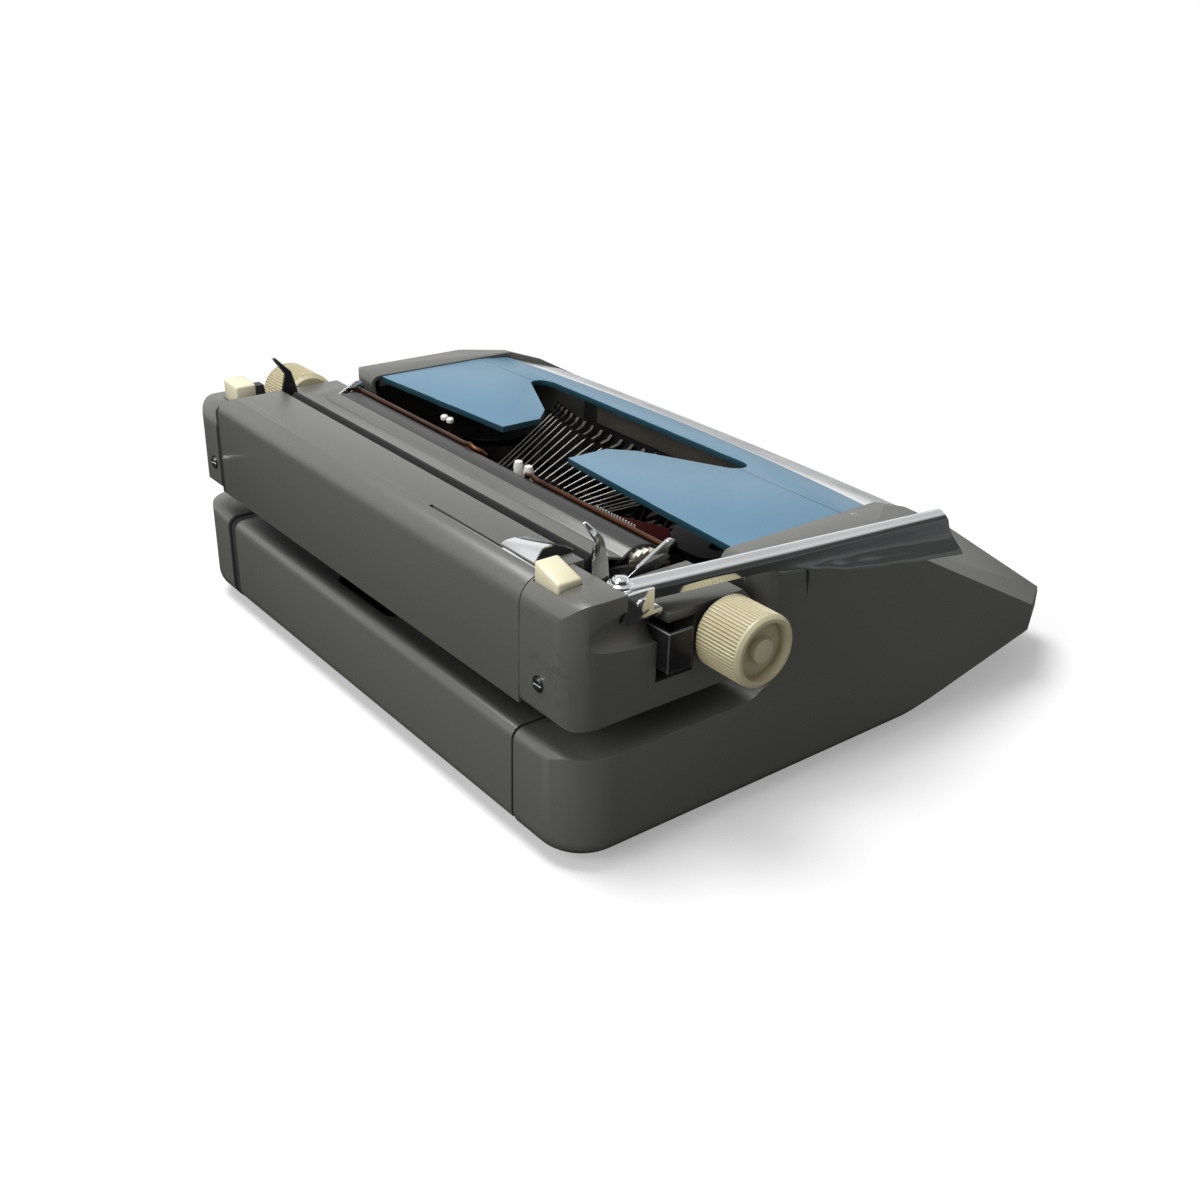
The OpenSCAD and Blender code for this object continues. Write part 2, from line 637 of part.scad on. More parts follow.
module type_bar() {
    along_x(-bar_t / 2, bar_t / 2) difference() {
        union() {
            translate([pivot_y, -bar_len]) circle(2, $fn = 24);
            polygon([[pivot_y, -bar_len - 1.7], [pivot_y, -bar_len + 1],
                [pivot_y - bar_len + 9, -bar_len + 1],
                [pivot_y - bar_len - 4, -bar_len + 3.2], [pivot_y - bar_len - 4, -bar_len + 0.4],
                [pivot_y - bar_len + 8, -bar_len - 1.4]]);
        }
        translate([pivot_y, -bar_len]) circle(wire_r + 0.15, $fn = 24);
    }
    // Type slug, whose face meets the platen
    slab(-1.1, 1.1, pivot_y - bar_len - 4, pivot_y - bar_len + 4, -bar_len + 3, -bar_len + slug_h - 0.8);
    for (d = [-2, 2]) slab(-0.8, 0.8, pivot_y - bar_len + d - 1.4, pivot_y - bar_len + d + 1.4,
        -bar_len + slug_h - 1, -bar_len + slug_h);
}
active_bar = (bar_count - 1) / 2;
module type_bars() color("silver")
    for (k = [0:bar_count - 1]) if (k != active_bar) fan(k * bar_pitch - fan_half) type_bar();
module active_type_bar() color("silver") fan(0) type_bar();
module type_rest() color("black") {
    ring_sector(bar_len + 1.7, bar_len + 5, rest_y, rest_y + 7, fan_half + 6);
    for (s = [-1, 1]) fan(s * (fan_half + 5))
        slab(-1, 1, rest_y + 6.5, segment_y, -bar_len - 4.8, -bar_len - 2);
}

// Ribbon and printing point
holder_half = 20;
module card_holder() color("silver") {
    difference() {
        along_x(print_x - holder_half, print_x + holder_half) polygon(concat(
            arc([platen_y, platen_z], platen_r + 1.6, 186, 222, 6),
            arc([platen_y, platen_z], platen_r + 0.6, 222, 186, 6)));
        slab(print_x - 6, print_x + 6, 0, rear_y, platen_z - 14, deck_h);
    }
    for (s = [-1, 1]) slab(print_x + s * 15 - 3, print_x + s * 15 + 3, bar_rear_y + 0.6, strike_y - 1.1,
        bar_mid_z + 4, platen_z - 1.4);
    slab(print_x - 17, print_x + 17, bar_rear_y + 0.6, bar_rear_y + 2, vibrator_z + 8, vibrator_z + 14);
}
module ribbon_vibrator() color("white") along_y(bar_rear_y + 0.3 - vibrator_t, bar_rear_y + 0.3) difference() {
    translate([print_x - vibrator_half, vibrator_z])
        square([2 * vibrator_half, ribbon_z + ribbon_w + 2 - vibrator_z]);
    translate([print_x - 4.5, vibrator_z + 16]) square([9, 60]);
    for (s = [-1, 1]) translate([print_x + s * 6.5 - 0.5, ribbon_z - 1]) square([1, ribbon_w + 1.5]);
}
module cup(s) {
    translate([s * cup_x, cup_y, cup_z]) rotate_extrude()
        polygon([[0, 0], [cup_r, 0], [cup_r, 14], [cup_r - 1.2, 14], [cup_r - 1.2, 1.6], [0, 1.6]]);
    rod_z(s * cup_x, cup_y, cup_z + 1, cup_z + 20, 2.5);
    slab(min(s * (cup_x + 10), s * (side_plate_x + 2)), max(s * (cup_x + 10), s * (side_plate_x + 2)),
        cup_y - 8, cup_y + 8, cup_z, cup_z + 1.6);
    // Arm and post that lead the ribbon to the printing point
    translate([s * cup_x, cup_y, cup_z]) rotate([0, 0, atan2(post_y - cup_y, print_x + s * post_x - s * cup_x)])
        slab(cup_r - 2, norm([post_y - cup_y, print_x + s * post_x - s * cup_x]) + 3, -3, 3, 0, 1.6);
    rod_z(print_x + s * post_x, post_y, cup_z + 1, ribbon_z + ribbon_w + 3, 1.5);
}
module ribbon_cups() color("dimgray") for (s = [-1, 1]) cup(s);
module spool(s) translate([s * cup_x, cup_y, cup_z + 1.6 + seat_gap]) difference() {
    rotate_extrude() polygon([[0, 0], [spool_r, 0], [spool_r, 0.8], [spool_r - 5, 1.2],
        [spool_r - 5, ribbon_w + 2.2],
        [spool_r, ribbon_w + 2.6], [spool_r, ribbon_w + 3.4], [0, ribbon_w + 3.4]]);
    translate([0, 0, -1]) cylinder(r = 2.5 + run_gap, h = 40);
    for (k = [0:2]) rotate([0, 0, 120 * k]) translate([11, 0, -1]) cylinder(r = 4, h = 40);
}
module left_spool() color("silver") spool(-1);
module right_spool() color("silver") spool(1);
module ribbon() color("darkred") along_z(ribbon_z, ribbon_z + ribbon_w) for (s = [-1, 1])
    let(a = [s * (cup_x - 6), cup_y + cup_r + 0.6], b = [print_x + s * post_x, post_y + 2.4],
        c = [print_x + s * (vibrator_half + 0.4), bar_rear_y - 0.4])
    polygon([a, b, c, c + [0, ribbon_t], b + [0, ribbon_t], a + [0, ribbon_t]]);
bell_x = 62;
bell_y = rear_y - 30;
bell_r = 11;
module margin_bell() color("gold") translate([bell_x, bell_y, floor_h]) {
    difference() {
        translate([0, 0, 6]) rotate_extrude() polygon(concat([[0, 0]], arc([0, 0], bell_r, 0, 90, 10)));
        translate([0, 0, 5.9]) rotate_extrude() polygon(concat([[0, 0]], arc([0, 0], bell_r - 1.5, 0, 90, 10)));
    }
    cylinder(r = 2.5, h = 6 + bell_r);
}
module mainspring_drum() color("silver") translate([drum_x, drum_y + 10.7, drum_z]) rotate([90, 0, 0])
    difference() {
    rotate_extrude() polygon([[0, 0], [drum_r, 0], [drum_r, 1.5], [drum_r - 2, 2], [drum_r - 2, 9],
        [drum_r, 9.5], [drum_r, 11], [0, 11]]);
    translate([0, 0, -1]) cylinder(r = drum_pin_r + run_gap, h = 40);
}

// Carriage
cover_gap_y = rear_y - 29;
cover_in_y = rear_y - sheet_t - 0.2;
bed_rear_y = rear_y - 14;
module carriage_bed() color("silver")
    along_x(cap_gap - cap_x, cap_x - cap_gap) polygon([[bed_front_y, bed_z], [bed_rear_y, bed_z],
        [bed_rear_y, carriage_h + 0.5],
        [cover_in_y, carriage_h + 0.5], [cover_in_y, bed_z + 24], [cover_in_y - bed_t, bed_z + 24],
        [cover_in_y - bed_t, carriage_h + 0.5 + bed_t], [bed_rear_y - bed_t, carriage_h + 0.5 + bed_t],
        [bed_rear_y - bed_t, bed_z + bed_t], [bed_front_y, bed_z + bed_t]]);
module cover_block(i) along_x(-cover_half - i, cover_half + i) polygon(concat(
    [[rear_y - i, carriage_h - i]],
    arc([rear_y - cover_r, carriage_top - cover_r], cover_r - i, 0, 90, 8),
    [[cover_gap_y + i, carriage_top - i], [cover_gap_y + i, carriage_h - i]]
));
// The cover's outline from behind, lowered by d and lengthened by i
module cover_front(d, i) along_y(cover_gap_y - 1, rear_y + 1) polygon(concat(
    [[-cover_half - i, carriage_h - 9], [cover_half + i, carriage_h - 9], [cover_half + i, right_top - d]],
    arc([cover_half - end_run, carriage_top - end_r - d], end_r, acos(end_run / end_r), 90, 8),
    [[-cover_half - i, carriage_top - d]]
));
support_y = rear_y - 11;
support_x = 7 - cover_half;
support_len = 68;
module carriage_cover() color("dimgray") difference() {
    intersection() {
        cover_block(0);
        cover_front(0, 0);
    }
    intersection() {
        cover_block(sheet_t);
        cover_front(sheet_t, 3);
    }
    // The front edge is only a lip
    intersection() {
        slab(-cover_half - 1, cover_half + 1, cover_gap_y - 1, cover_gap_y + sheet_t + 1, carriage_h - 1,
            carriage_top);
        cover_front(5, 3);
    }
    // Slot that the paper support folds into
    slab(support_x - 7.5, support_x + support_len + 1, support_y - 0.9, support_y + 0.9,
        carriage_top - 12, carriage_top + 1);
}
cap_wall = 3;
cap_low_r = 12;
module cap_outline(i, top) polygon(concat(
    arc([rear_y - cover_r, top - cover_r], cover_r - i, 0, 90, 8),
    [[cap_tall_y + i, top - i], [cap_tall_y + i, cap_step_h - i]],
    [[cap_front_y + 8, cap_step_h - i], [cap_front_y + i, cap_step_h - 8]],
    arc([cap_front_y + cap_low_r, carriage_h + cap_low_r], cap_low_r - i, 180, 270, 6),
    arc([rear_y - 4, carriage_h + 4], 4 - i, 270, 360, 4)
));
module cap_plan(end) polygon(concat(
    [[cap_x, cap_front_y], [end - 4, cap_front_y], [end, cap_front_y + 4]],
    arc([end - cap_r, rear_y - cap_r], cap_r, 0, 90, 8),
    [[cap_x, rear_y]]
));
key_hole_w = 15;
key_hole_d = 11;
key_hole_x = cap_x + 1 + key_hole_w / 2;
key_rear_y = rear_y - 5;
right_key_y = rear_y - 12;
module end_cap(end, top, well_y, well_d) difference() {
    intersection() {
        along_x(cap_x, end) cap_outline(0, top);
        along_z(carriage_h, top) cap_plan(end);
    }
    // Hollow, open below
    intersection() {
        along_x(cap_x + cap_wall, end - 11) cap_outline(cap_wall, top);
        slab(cap_x + cap_wall, end - 11, cap_front_y + cap_wall, rear_y - cap_wall,
            carriage_h + cap_wall - 1, top - cap_wall);
    }
    slab(cap_x + cap_wall, end - 11, cap_front_y + 9, rear_y - 7, carriage_h - 1,
        carriage_h + cap_wall + 1);
    rod_x(cap_x - 1, end + 1, platen_y, platen_z, shaft_r + 1.5);
    // Well of the margin key
    slab(key_hole_x - key_hole_w / 2, key_hole_x + key_hole_w / 2, well_y - well_d,
        well_y, top - 8, top + 1);
}
release_y = rear_y - 47;
release_z = 90;
module right_end_cap() color("dimgray") end_cap(cap_half - right_in, right_top, right_key_y, key_hole_d + 6);
module left_end_cap() color("dimgray") difference() {
    left_hand() end_cap(cap_half, carriage_top, key_rear_y, key_hole_d);
    // Finger scoop under the top edge, deeper towards the lever
    translate([-cap_half - 9, rear_y - 4, cap_step_h - 1]) rotate([90, 0, 12]) cylinder(r = 9, h = 40);
    // Slot of the carriage release
    slab(-cap_half - 1, -cap_half + 11.5, release_y - 9, release_y + 9, release_z - 16, release_z + 7);
}
arm_pivot_y = platen_y + 13.5;
arm_pivot_z = platen_z + 3;
arm_pin_r = 2;
finger_y = platen_y + 26.5;
finger_z = platen_z + 6;
roller_r = 6;
roller_step = (platen_half - 31) / 3;
roller_y = platen_y + 7;
roller_z = platen_z - sqrt(pow(platen_r + roller_r + seat_gap, 2) - 49);
bed_web_z = carriage_h + 0.5 + bed_t;
plate_low_y = bed_rear_y - bed_t - seat_gap;
module end_plate() {
    along_x(plate_x, plate_x + plate_w) difference() {
        polygon([[bed_front_y, bed_z + bed_t], [plate_low_y, bed_z + bed_t],
            [plate_low_y, bed_web_z + seat_gap],
            [rear_y - 8, bed_web_z + seat_gap], [rear_y - 8, carriage_top - 14],
                [cover_gap_y + 4, min(carriage_top - 6, right_top - 1)], [finger_y + 5, finger_z + 8],
                [platen_y + 4, platen_z + 11], [platen_y - 9, platen_z + 8], [platen_y - 10, platen_z - 8]]);
        translate([platen_y, platen_z]) circle(shaft_r + run_gap);
        translate([arm_pivot_y, arm_pivot_z]) circle(arm_pin_r + run_gap);
        translate([finger_y, finger_z]) circle(arm_pin_r + run_gap);
        translate([roller_y, roller_z]) circle(2 + run_gap);
    }
    rod_x(plate_x + plate_w, cap_x, rear_y - 20, platen_z - 10, 5);
}
module right_end_plate() color("silver") end_plate();
module left_end_plate() color("silver") left_hand() end_plate();
module paper_table() color("dimgray") along_x(-plate_x, plate_x) polygon(concat(
    arc([platen_y, platen_z], platen_r + 3.2, 68, 52, 4),
    [[finger_y + 1, carriage_top - 3.5], [finger_y + 2.6, carriage_top - 5.5],
        [finger_y + 2.6, finger_z + 2], [finger_y + 1.1, finger_z + 2]],
    [[finger_y + 1.1, carriage_top - 6], [finger_y, carriage_top - 5.2]],
    arc([platen_y, platen_z], platen_r + 1.7, 50, 68, 4)
));
module feed_rollers() color("black") {
    rod_x(-plate_x - plate_w, plate_x + plate_w, roller_y, roller_z, 2);
    for (k = [-3:2:3]) rod_x(k * roller_step - 14, k * roller_step + 14, roller_y, roller_z, roller_r);
}
rack_y = rear_y - 16;
rack_z = bed_z + 26;
rack_pitch = 2.54;
rack_teeth = floor((plate_x - 6) / rack_pitch);
stop_x = plate_x - 33;
module margin_rack() color("silver") {
    slab(-plate_x, plate_x, rack_y, rack_y + 2, rack_z, rack_z + 8);
    for (k = [-rack_teeth:rack_teeth]) let(x = k * rack_pitch)
        slab(x - 0.7, x + 0.7, rack_y - 1.5, rack_y + 0.1, rack_z + 1, rack_z + 7);
}
module margin_stops() color("silver") for (x = [-stop_x, stop_x]) difference() {
    slab(x - 6, x + 6, rack_y - 5, rack_y + 5, rack_z - 4, rack_z + 12);
    slab(x - 7, x + 7, rack_y - 1.8, rack_y + 2.3, rack_z - 0.3, rack_z + 8.3);
}
module lever_bracket() color("silver") {
    slab(lever_x - 9.5, lever_x + 6, lever_y - 12, lever_y + 5, cap_step_h, lever_low_z - seat_gap);
    slab(lever_x - 9.5, lever_x - 8, lever_y - 8, lever_y + 5, cap_step_h, carriage_top - 1.5);
    rod_z(lever_x, lever_y, cap_step_h, lever_low_z + 8.4, lever_pin_r);
    rod_x(lever_x - 10.6, lever_x - 9, lever_y - 2, cap_step_h + 6, 3);
}

// Platen, its knobs and ratchet
module platen() color("dimgray") difference() {
    rod_x(-platen_half, platen_half, platen_y, platen_z, platen_r);
    rod_x(-platen_half - 1, platen_half + 1, platen_y, platen_z, platen_r - 4);
}
module platen_shaft() color("silver") {
    rod_x(-platen_half, platen_half, platen_y, platen_z, platen_r - 4 - 0.02);
    rod_x(6.5 - knob_x - knob_w, knob_x - right_in + right_knob_w - 6.5, platen_y, platen_z, shaft_r);
    rod_x(platen_half, platen_half + 3.5, platen_y, platen_z, platen_r - 2);
}
ratchet_teeth = 30;
module line_ratchet() color("tan") along_x(-platen_half - 3.6, -platen_half - 0.1)
    translate([platen_y, platen_z]) difference() {
    polygon([for (k = [0:ratchet_teeth - 1], e = [0, 1])
        (platen_r - (e == 0 ? 1 : 2.6)) * [cos((k + 0.15 * e) * 360 / ratchet_teeth),
            sin((k + 0.15 * e) * 360 / ratchet_teeth)]]);
    circle(shaft_r + 0.02);
}
module knob(x, w) {
    let(step = 360 / knob_ribs) translate([x, platen_y, platen_z]) rotate([0, 90, 0]) difference() {
        union() {
            translate([0, 0, 2]) linear_extrude(w - 4) polygon([for (k = [0:knob_ribs - 1], e = [0:3])
                (knob_r - (e < 2 ? 0 : 0.55)) * [cos((k + e / 4) * step), sin((k + e / 4) * step)]]);
            rotate_extrude() polygon([[0, 0], [knob_r - 2, 0], [knob_r - 0.4, 2], [0, 2]]);
            translate([0, 0, w - 2]) rotate_extrude()
                polygon([[0, 0], [knob_r - 0.2, 0], [knob_r - 0.2, 0.8], [knob_r - 1.6, 2], [0, 2]]);
        }
        translate([0, 0, w - 4.5]) difference() {
            cylinder(r = knob_r - 3, h = 10);
            cylinder(r = 4.6, h = 3.2);
        }
        translate([0, 0, -1]) cylinder(r = shaft_r + 0.02, h = w - 5);
    }
}
module right_knob() color("beige") knob(knob_x - right_in, right_knob_w);
module left_knob() color("beige") left_hand() knob(knob_x, knob_w);

// Return lever: a channel that ends in a deep thumb blade
lever_w = 9;
lever_tip_w = 6.5;
lever_h = 7.4;
lever_tilt = atan(lever_rise / lever_len);
module return_lever() color("silver") difference() {
    translate([lever_x, lever_y, lever_low_z]) {
        cylinder(r = lever_w / 2 + 0.6, h = 8);
        rotate([0, -lever_tilt, -90 - lever_swing]) {
            along_z(lever_h - 3, lever_h) polygon([[0, -lever_w / 2], [lever_len - 10, -lever_tip_w / 2],
                [lever_len - 6, -1],
                [lever_len - 6, 1], [lever_len - 10, lever_tip_w / 2], [0, lever_w / 2]]);
            // Web that deepens into the thumb blade
            along_y(-1.3, 1.3) polygon([[3, 0.6], [lever_len - 74, 0.4], [lever_len - 62, -1.8],
                [lever_len - 46, -6.2],
                [lever_len - 32, -8], [lever_len - 5, -10.6], [lever_len - 1, -8], [lever_len, -4],
                [lever_len - 6, lever_h - 1], [3, lever_h - 1]]);
        }
    }
    rod_z(lever_x, lever_y, lever_low_z - 1, lever_low_z + 20, lever_pin_r + run_gap);
}

// Paper bail: two wires over the platen on swinging arms
wire_bail_r = 1.6;
bail_angle = 120;
bail_gap = platen_r + wire_bail_r + seat_gap;
bail_y = platen_y + bail_gap * cos(bail_angle);
bail_z = platen_z + bail_gap * sin(bail_angle);
module bail_wires() color("saddlebrown") {
    rod_x(-arm_x, print_x - 18, bail_y, bail_z, wire_bail_r);
    rod_x(print_x + 6, arm_x, bail_y, bail_z, wire_bail_r);
    for (x = [print_x - 18, print_x + 6]) {
        translate([x, bail_y, bail_z]) sphere(wire_bail_r);
        translate([x, bail_y, bail_z]) rotate([116, 0, 0]) cylinder(r = wire_bail_r, h = 7);
    }
}
module bail_arm() {
    along_x(arm_x, arm_x + arm_t) union() {
        translate([arm_pivot_y, arm_pivot_z]) circle(4);
        translate([bail_y, bail_z]) circle(3.4);
        polygon([[arm_pivot_y + 2, arm_pivot_z + 3.4], [bail_y + 2, bail_z + 2.8],
            [bail_y - 2, bail_z - 2.8], [arm_pivot_y - 3, arm_pivot_z - 2.6]]);
    }
    rod_x(plate_x, arm_x + 0.1, arm_pivot_y, arm_pivot_z, arm_pin_r);
}
module bail_arms() color("silver") for (s = [0, 1]) mirror([s, 0, 0]) bail_arm();

// Levers at the platen's ends
module finger_lever() {
    along_x(finger_x, finger_x + arm_t) union() {
        translate([finger_y, finger_z]) circle(4.5);
        polygon([[finger_y - 4.5, finger_z], [finger_y + 4.5, finger_z], [finger_y + 5, finger_z + 14],
            [finger_y + 3, finger_z + 22],
            [finger_y + 9, finger_z + 30.5], [finger_y + 7.5, finger_z + 31],
                [finger_y - 0.5, finger_z + 23], [finger_y - 3, finger_z + 14]]);
    }
    rod_x(plate_x, finger_x + 0.1, finger_y, finger_z, arm_pin_r);
}
module paper_release_lever() color("dimgray") finger_lever();
module detent_lever() color("silver") left_hand() finger_lever();
module carriage_release() color("silver") {
    slab(-cap_half - 6, -cap_half + 11.2, release_y + 7.2, release_y + 8.7, release_z - 10, release_z + 6);
    slab(-cap_half - 6, -cap_half - 4.5, release_y - 2.8, release_y + 7.3, release_z - 10, release_z + 6);
}
module margin_key(y, top, inner_h, outer_h) let(x = key_hole_x, w = key_hole_w / 2 - seat_gap)
    along_y(y + seat_gap - key_hole_d, y - seat_gap) polygon([[x - w, top - cap_wall + 0.5],
        [x + w, top - cap_wall + 0.5], [x + w, top + outer_h], [x - w, top + inner_h]]);
module right_margin_key() color("beige") margin_key(right_key_y, right_top, 8.9, 9.8);
module left_margin_key() color("beige") left_hand() margin_key(key_rear_y, carriage_top, 6.5, 2.5);
module paper_support() color("silver") {
    along_y(support_y - 0.6, support_y + 0.6) union() {
        translate([support_x, carriage_top]) intersection() {
            circle(6.5);
            translate([-7, -3]) square([14, 10]);
        }
        polygon([[support_x, carriage_top - 3], [support_x + support_len, carriage_top - 5],
            [support_x + support_len, carriage_top - 0.5],
            [support_x, carriage_top - 0.5]]);
    }
    slab(support_x + 5, support_x + 19, support_y - 8, support_y + 0.6, carriage_top + seat_gap,
        carriage_top + seat_gap + 1.2);
    slab(support_x + 4.4, support_x + 19, support_y - 0.6, support_y + 0.6, carriage_top - 1,
        carriage_top + seat_gap + 1.2);
}

base_pan();
rubber_feet();
left_side_shell();
right_side_shell();
rear_panel();
front_trim();
front_apron();
left_side_plate();
right_side_plate();
cross_bars();
carriage_rail();
key_fulcrum_rod();
key_comb();
card_holder();
ribbon_cups();
ribbon();
margin_bell();
type_segment();
type_bars();
type_rest();
active_type_bar();
ribbon_vibrator();
left_spool();
right_spool();
mainspring_drum();
ribbon_cover();
carriage_bed();
carriage_cover();
left_end_cap();
right_end_cap();
left_end_plate();
right_end_plate();
paper_table();
feed_rollers();
margin_rack();
margin_stops();
lever_bracket();
platen();
platen_shaft();
line_ratchet();
left_knob();
right_knob();
return_lever();
bail_wires();
bail_arms();
paper_release_lever();
detent_lever();
carriage_release();
left_margin_key();
right_margin_key();
paper_support();
digit_row();
upper_row();
home_row();
lower_row();
active_key();
space_bar();
shift_keys();
backspace_key();
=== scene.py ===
import json
import math

import bmesh
import bpy
from mathutils import Matrix, Vector


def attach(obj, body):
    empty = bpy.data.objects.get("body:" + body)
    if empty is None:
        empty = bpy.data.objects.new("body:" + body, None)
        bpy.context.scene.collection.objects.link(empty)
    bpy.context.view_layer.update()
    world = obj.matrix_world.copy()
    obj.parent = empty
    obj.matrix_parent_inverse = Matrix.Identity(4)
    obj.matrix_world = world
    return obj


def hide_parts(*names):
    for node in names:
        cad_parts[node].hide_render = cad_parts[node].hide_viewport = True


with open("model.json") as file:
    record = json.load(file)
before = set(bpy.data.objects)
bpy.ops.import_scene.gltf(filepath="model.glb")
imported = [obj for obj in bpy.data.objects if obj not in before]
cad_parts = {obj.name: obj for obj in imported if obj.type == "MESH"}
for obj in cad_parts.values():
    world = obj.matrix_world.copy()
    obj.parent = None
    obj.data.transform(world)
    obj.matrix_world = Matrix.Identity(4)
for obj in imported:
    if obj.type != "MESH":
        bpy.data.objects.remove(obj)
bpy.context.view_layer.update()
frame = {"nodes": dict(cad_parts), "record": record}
nodes = frame["nodes"]
bodyOf = {n: b for b, members in frame["record"]["behaviour"]["bodies"].items() for n in members}
slotOf = {s["node"]: s["material_slot"] for s in frame["record"]["subparts"]}
mm = 0.001
scene = bpy.context.scene


def srgb(r, g, b):
    def lin(c):
        c /= 255.0
        return c / 12.92 if c <= 0.04045 else ((c + 0.055) / 1.055) ** 2.4
    return (lin(r), lin(g), lin(b), 1.0)


def addNode(tree, kind, **values):
    node = tree.nodes.new(kind)
    for key, value in values.items():
        setattr(node, key, value)
    return node


# Each socket gets a link where it is given an output, and a plain value otherwise
def feed(tree, node, sockets):
    for key, value in sockets.items():
        if hasattr(value, "is_output"):
            tree.links.new(value, node.inputs[key])
        else:
            node.inputs[key].default_value = value
    return node


def mathNode(tree, operation, a, b=0.0, c=0.0):
    return feed(tree, addNode(tree, "ShaderNodeMath", operation=operation), {0: a, 1: b, 2: c}).outputs[0]


def vectorMath(tree, operation, *vectors):
    node = feed(tree, addNode(tree, "ShaderNodeVectorMath", operation=operation), dict(enumerate(vectors)))
    return node.outputs["Value" if operation in ("DOT_PRODUCT", "DISTANCE") else "Vector"]


def remap(tree, value, lo, hi, outLo=0.0, outHi=1.0):
    node = addNode(tree, "ShaderNodeMapRange", interpolation_type="SMOOTHSTEP")
    sockets = {"Value": value, "From Min": lo, "From Max": hi, "To Min": outLo, "To Max": outHi}
    return feed(tree, node, sockets).outputs["Result"]


def noiseNode(tree, vector, scale, detail=3.0, rough=0.5):
    sockets = {"Vector": vector, "Scale": scale, "Detail": detail, "Roughness": rough}
    return feed(tree, addNode(tree, "ShaderNodeTexNoise"), sockets).outputs["Fac"]


def mixColor(tree, fac, a, b):
    return feed(tree, addNode(tree, "ShaderNodeMix", data_type="RGBA"), {0: fac, 6: a, 7: b}).outputs[2]


def tinted(tree, color, mask, amount, other):
    return mixColor(tree, mathNode(tree, "MULTIPLY", mask, amount), color, other)


def splitXyz(tree, vector):
    return feed(tree, addNode(tree, "ShaderNodeSeparateXYZ"), {0: vector}).outputs


def trueNormal(tree):
    return addNode(tree, "ShaderNodeNewGeometry").outputs["Normal"]


def makeGroup(name, ins, *outs):
    tree = bpy.data.node_groups.new(name, "ShaderNodeTree")
    tree.interface.new_socket("Vector", in_out="INPUT", socket_type="NodeSocketVector")
    for label, value in ins.items():
        kind = "NodeSocketVector" if isinstance(value, tuple) else "NodeSocketFloat"
        tree.interface.new_socket(label, in_out="INPUT", socket_type=kind).default_value = value
    for label in outs:
        tree.interface.new_socket(label, in_out="OUTPUT", socket_type="NodeSocketFloat")
    return tree, addNode(tree, "NodeGroupInput").outputs, addNode(tree, "NodeGroupOutput")


# Pairs are the values between which a mask fades from none to full
groupLook = {"rim": (0.99, 0.93), "rimPatch": (0.47, 0.62), "cloudHeight": 0.01, "facingUp": (0.3, 0.95),
             "speck": (0.66, 0.78), "drift": (0.42, 0.75), "driftScale": 22.0, "driftShare": 0.35, "smudgeScale": 35.0,
             "scuffNear": (1.0, 0.35), "scuffPatch": (0.5, 0.58), "seamSoft": 0.0003}


# Worn rims, and painted highlights on rims: the edge is where a rounded normal leaves the true one, broken up by a
# noise unless Patchy is off
def edgeWearAndHighlightGroup(look):
    tree, ins, out = makeGroup("edgeWear", {"Reach": 0.0006, "Patch Scale": 60.0, "Patchy": 1.0}, "Mask")
    rounded = feed(tree, addNode(tree, "ShaderNodeBevel", samples=4), {"Radius": ins["Reach"]}).outputs[0]
    rim = remap(tree, vectorMath(tree, "DOT_PRODUCT", rounded, trueNormal(tree)), *look["rim"])
    patch = remap(tree, noiseNode(tree, ins["Vector"], ins["Patch Scale"], 5.0, 0.65), *look["rimPatch"])
    whole = mathNode(tree, "SUBTRACT", 1.0, ins["Patchy"])
    feed(tree, out, {"Mask": mathNode(tree, "MULTIPLY", rim, mathNode(tree, "MAXIMUM", patch, whole))})
    return tree


def enamelGroup(look):
    tree, ins, out = makeGroup("enamelSkin", {"Grain Scale": 900.0, "Cloud Scale": 9.0}, "Cloud", "Height")
    cloud = noiseNode(tree, ins["Vector"], ins["Cloud Scale"], 4.0, 0.55)
    grain = noiseNode(tree, ins["Vector"], ins["Grain Scale"], 2.0, 0.6)
    feed(tree, out, {"Cloud": cloud, "Height": mathNode(tree, "MULTIPLY_ADD", cloud, look["cloudHeight"], grain)})
    return tree


# Dust that lies on what faces up: fine specks and a thin drift
def dustGroup(look):
    tree, ins, out = makeGroup("settledDust", {"Speck Scale": 700.0}, "Mask")
    up = remap(tree, splitXyz(tree, trueNormal(tree))["Z"], *look["facingUp"])
    specks = remap(tree, noiseNode(tree, ins["Vector"], ins["Speck Scale"], 1.0), *look["speck"])
    drift = remap(tree, noiseNode(tree, ins["Vector"], look["driftScale"], 4.0), *look["drift"])
    both = mathNode(tree, "MULTIPLY_ADD", drift, look["driftShare"], specks)
    feed(tree, out, {"Mask": mathNode(tree, "MULTIPLY", up, both)})
    return tree


def brushedGroup(look):
    tree, ins, out = makeGroup("brushedLines", {"Stretch": (1.0, 1.0, 1.0), "Scale": 1.0}, "Lines", "Smudge")
    stretched = vectorMath(tree, "MULTIPLY", ins["Vector"], ins["Stretch"])
    feed(tree, out, {"Lines": noiseNode(tree, stretched, ins["Scale"], 4.0, 0.7),
                     "Smudge": noiseNode(tree, ins["Vector"], look["smudgeScale"], 5.0, 0.6)})
    return tree


# One scuffed place: a soft ball round a point, broken up by a noise
def scuffGroup(look):
    tree, ins, out = makeGroup("scuffSpot", {"Centre": (0.0, 0.0, 0.0), "Radius": 0.01, "Patch Scale": 180.0}, "Mask")
    away = mathNode(tree, "DIVIDE", vectorMath(tree, "DISTANCE", ins["Vector"], ins["Centre"]), ins["Radius"])
    patch = remap(tree, noiseNode(tree, ins["Vector"], ins["Patch Scale"], 6.0, 0.7), *look["scuffPatch"])
    feed(tree, out, {"Mask": mathNode(tree, "MULTIPLY", remap(tree, away, *look["scuffNear"]), patch)})
    return tree
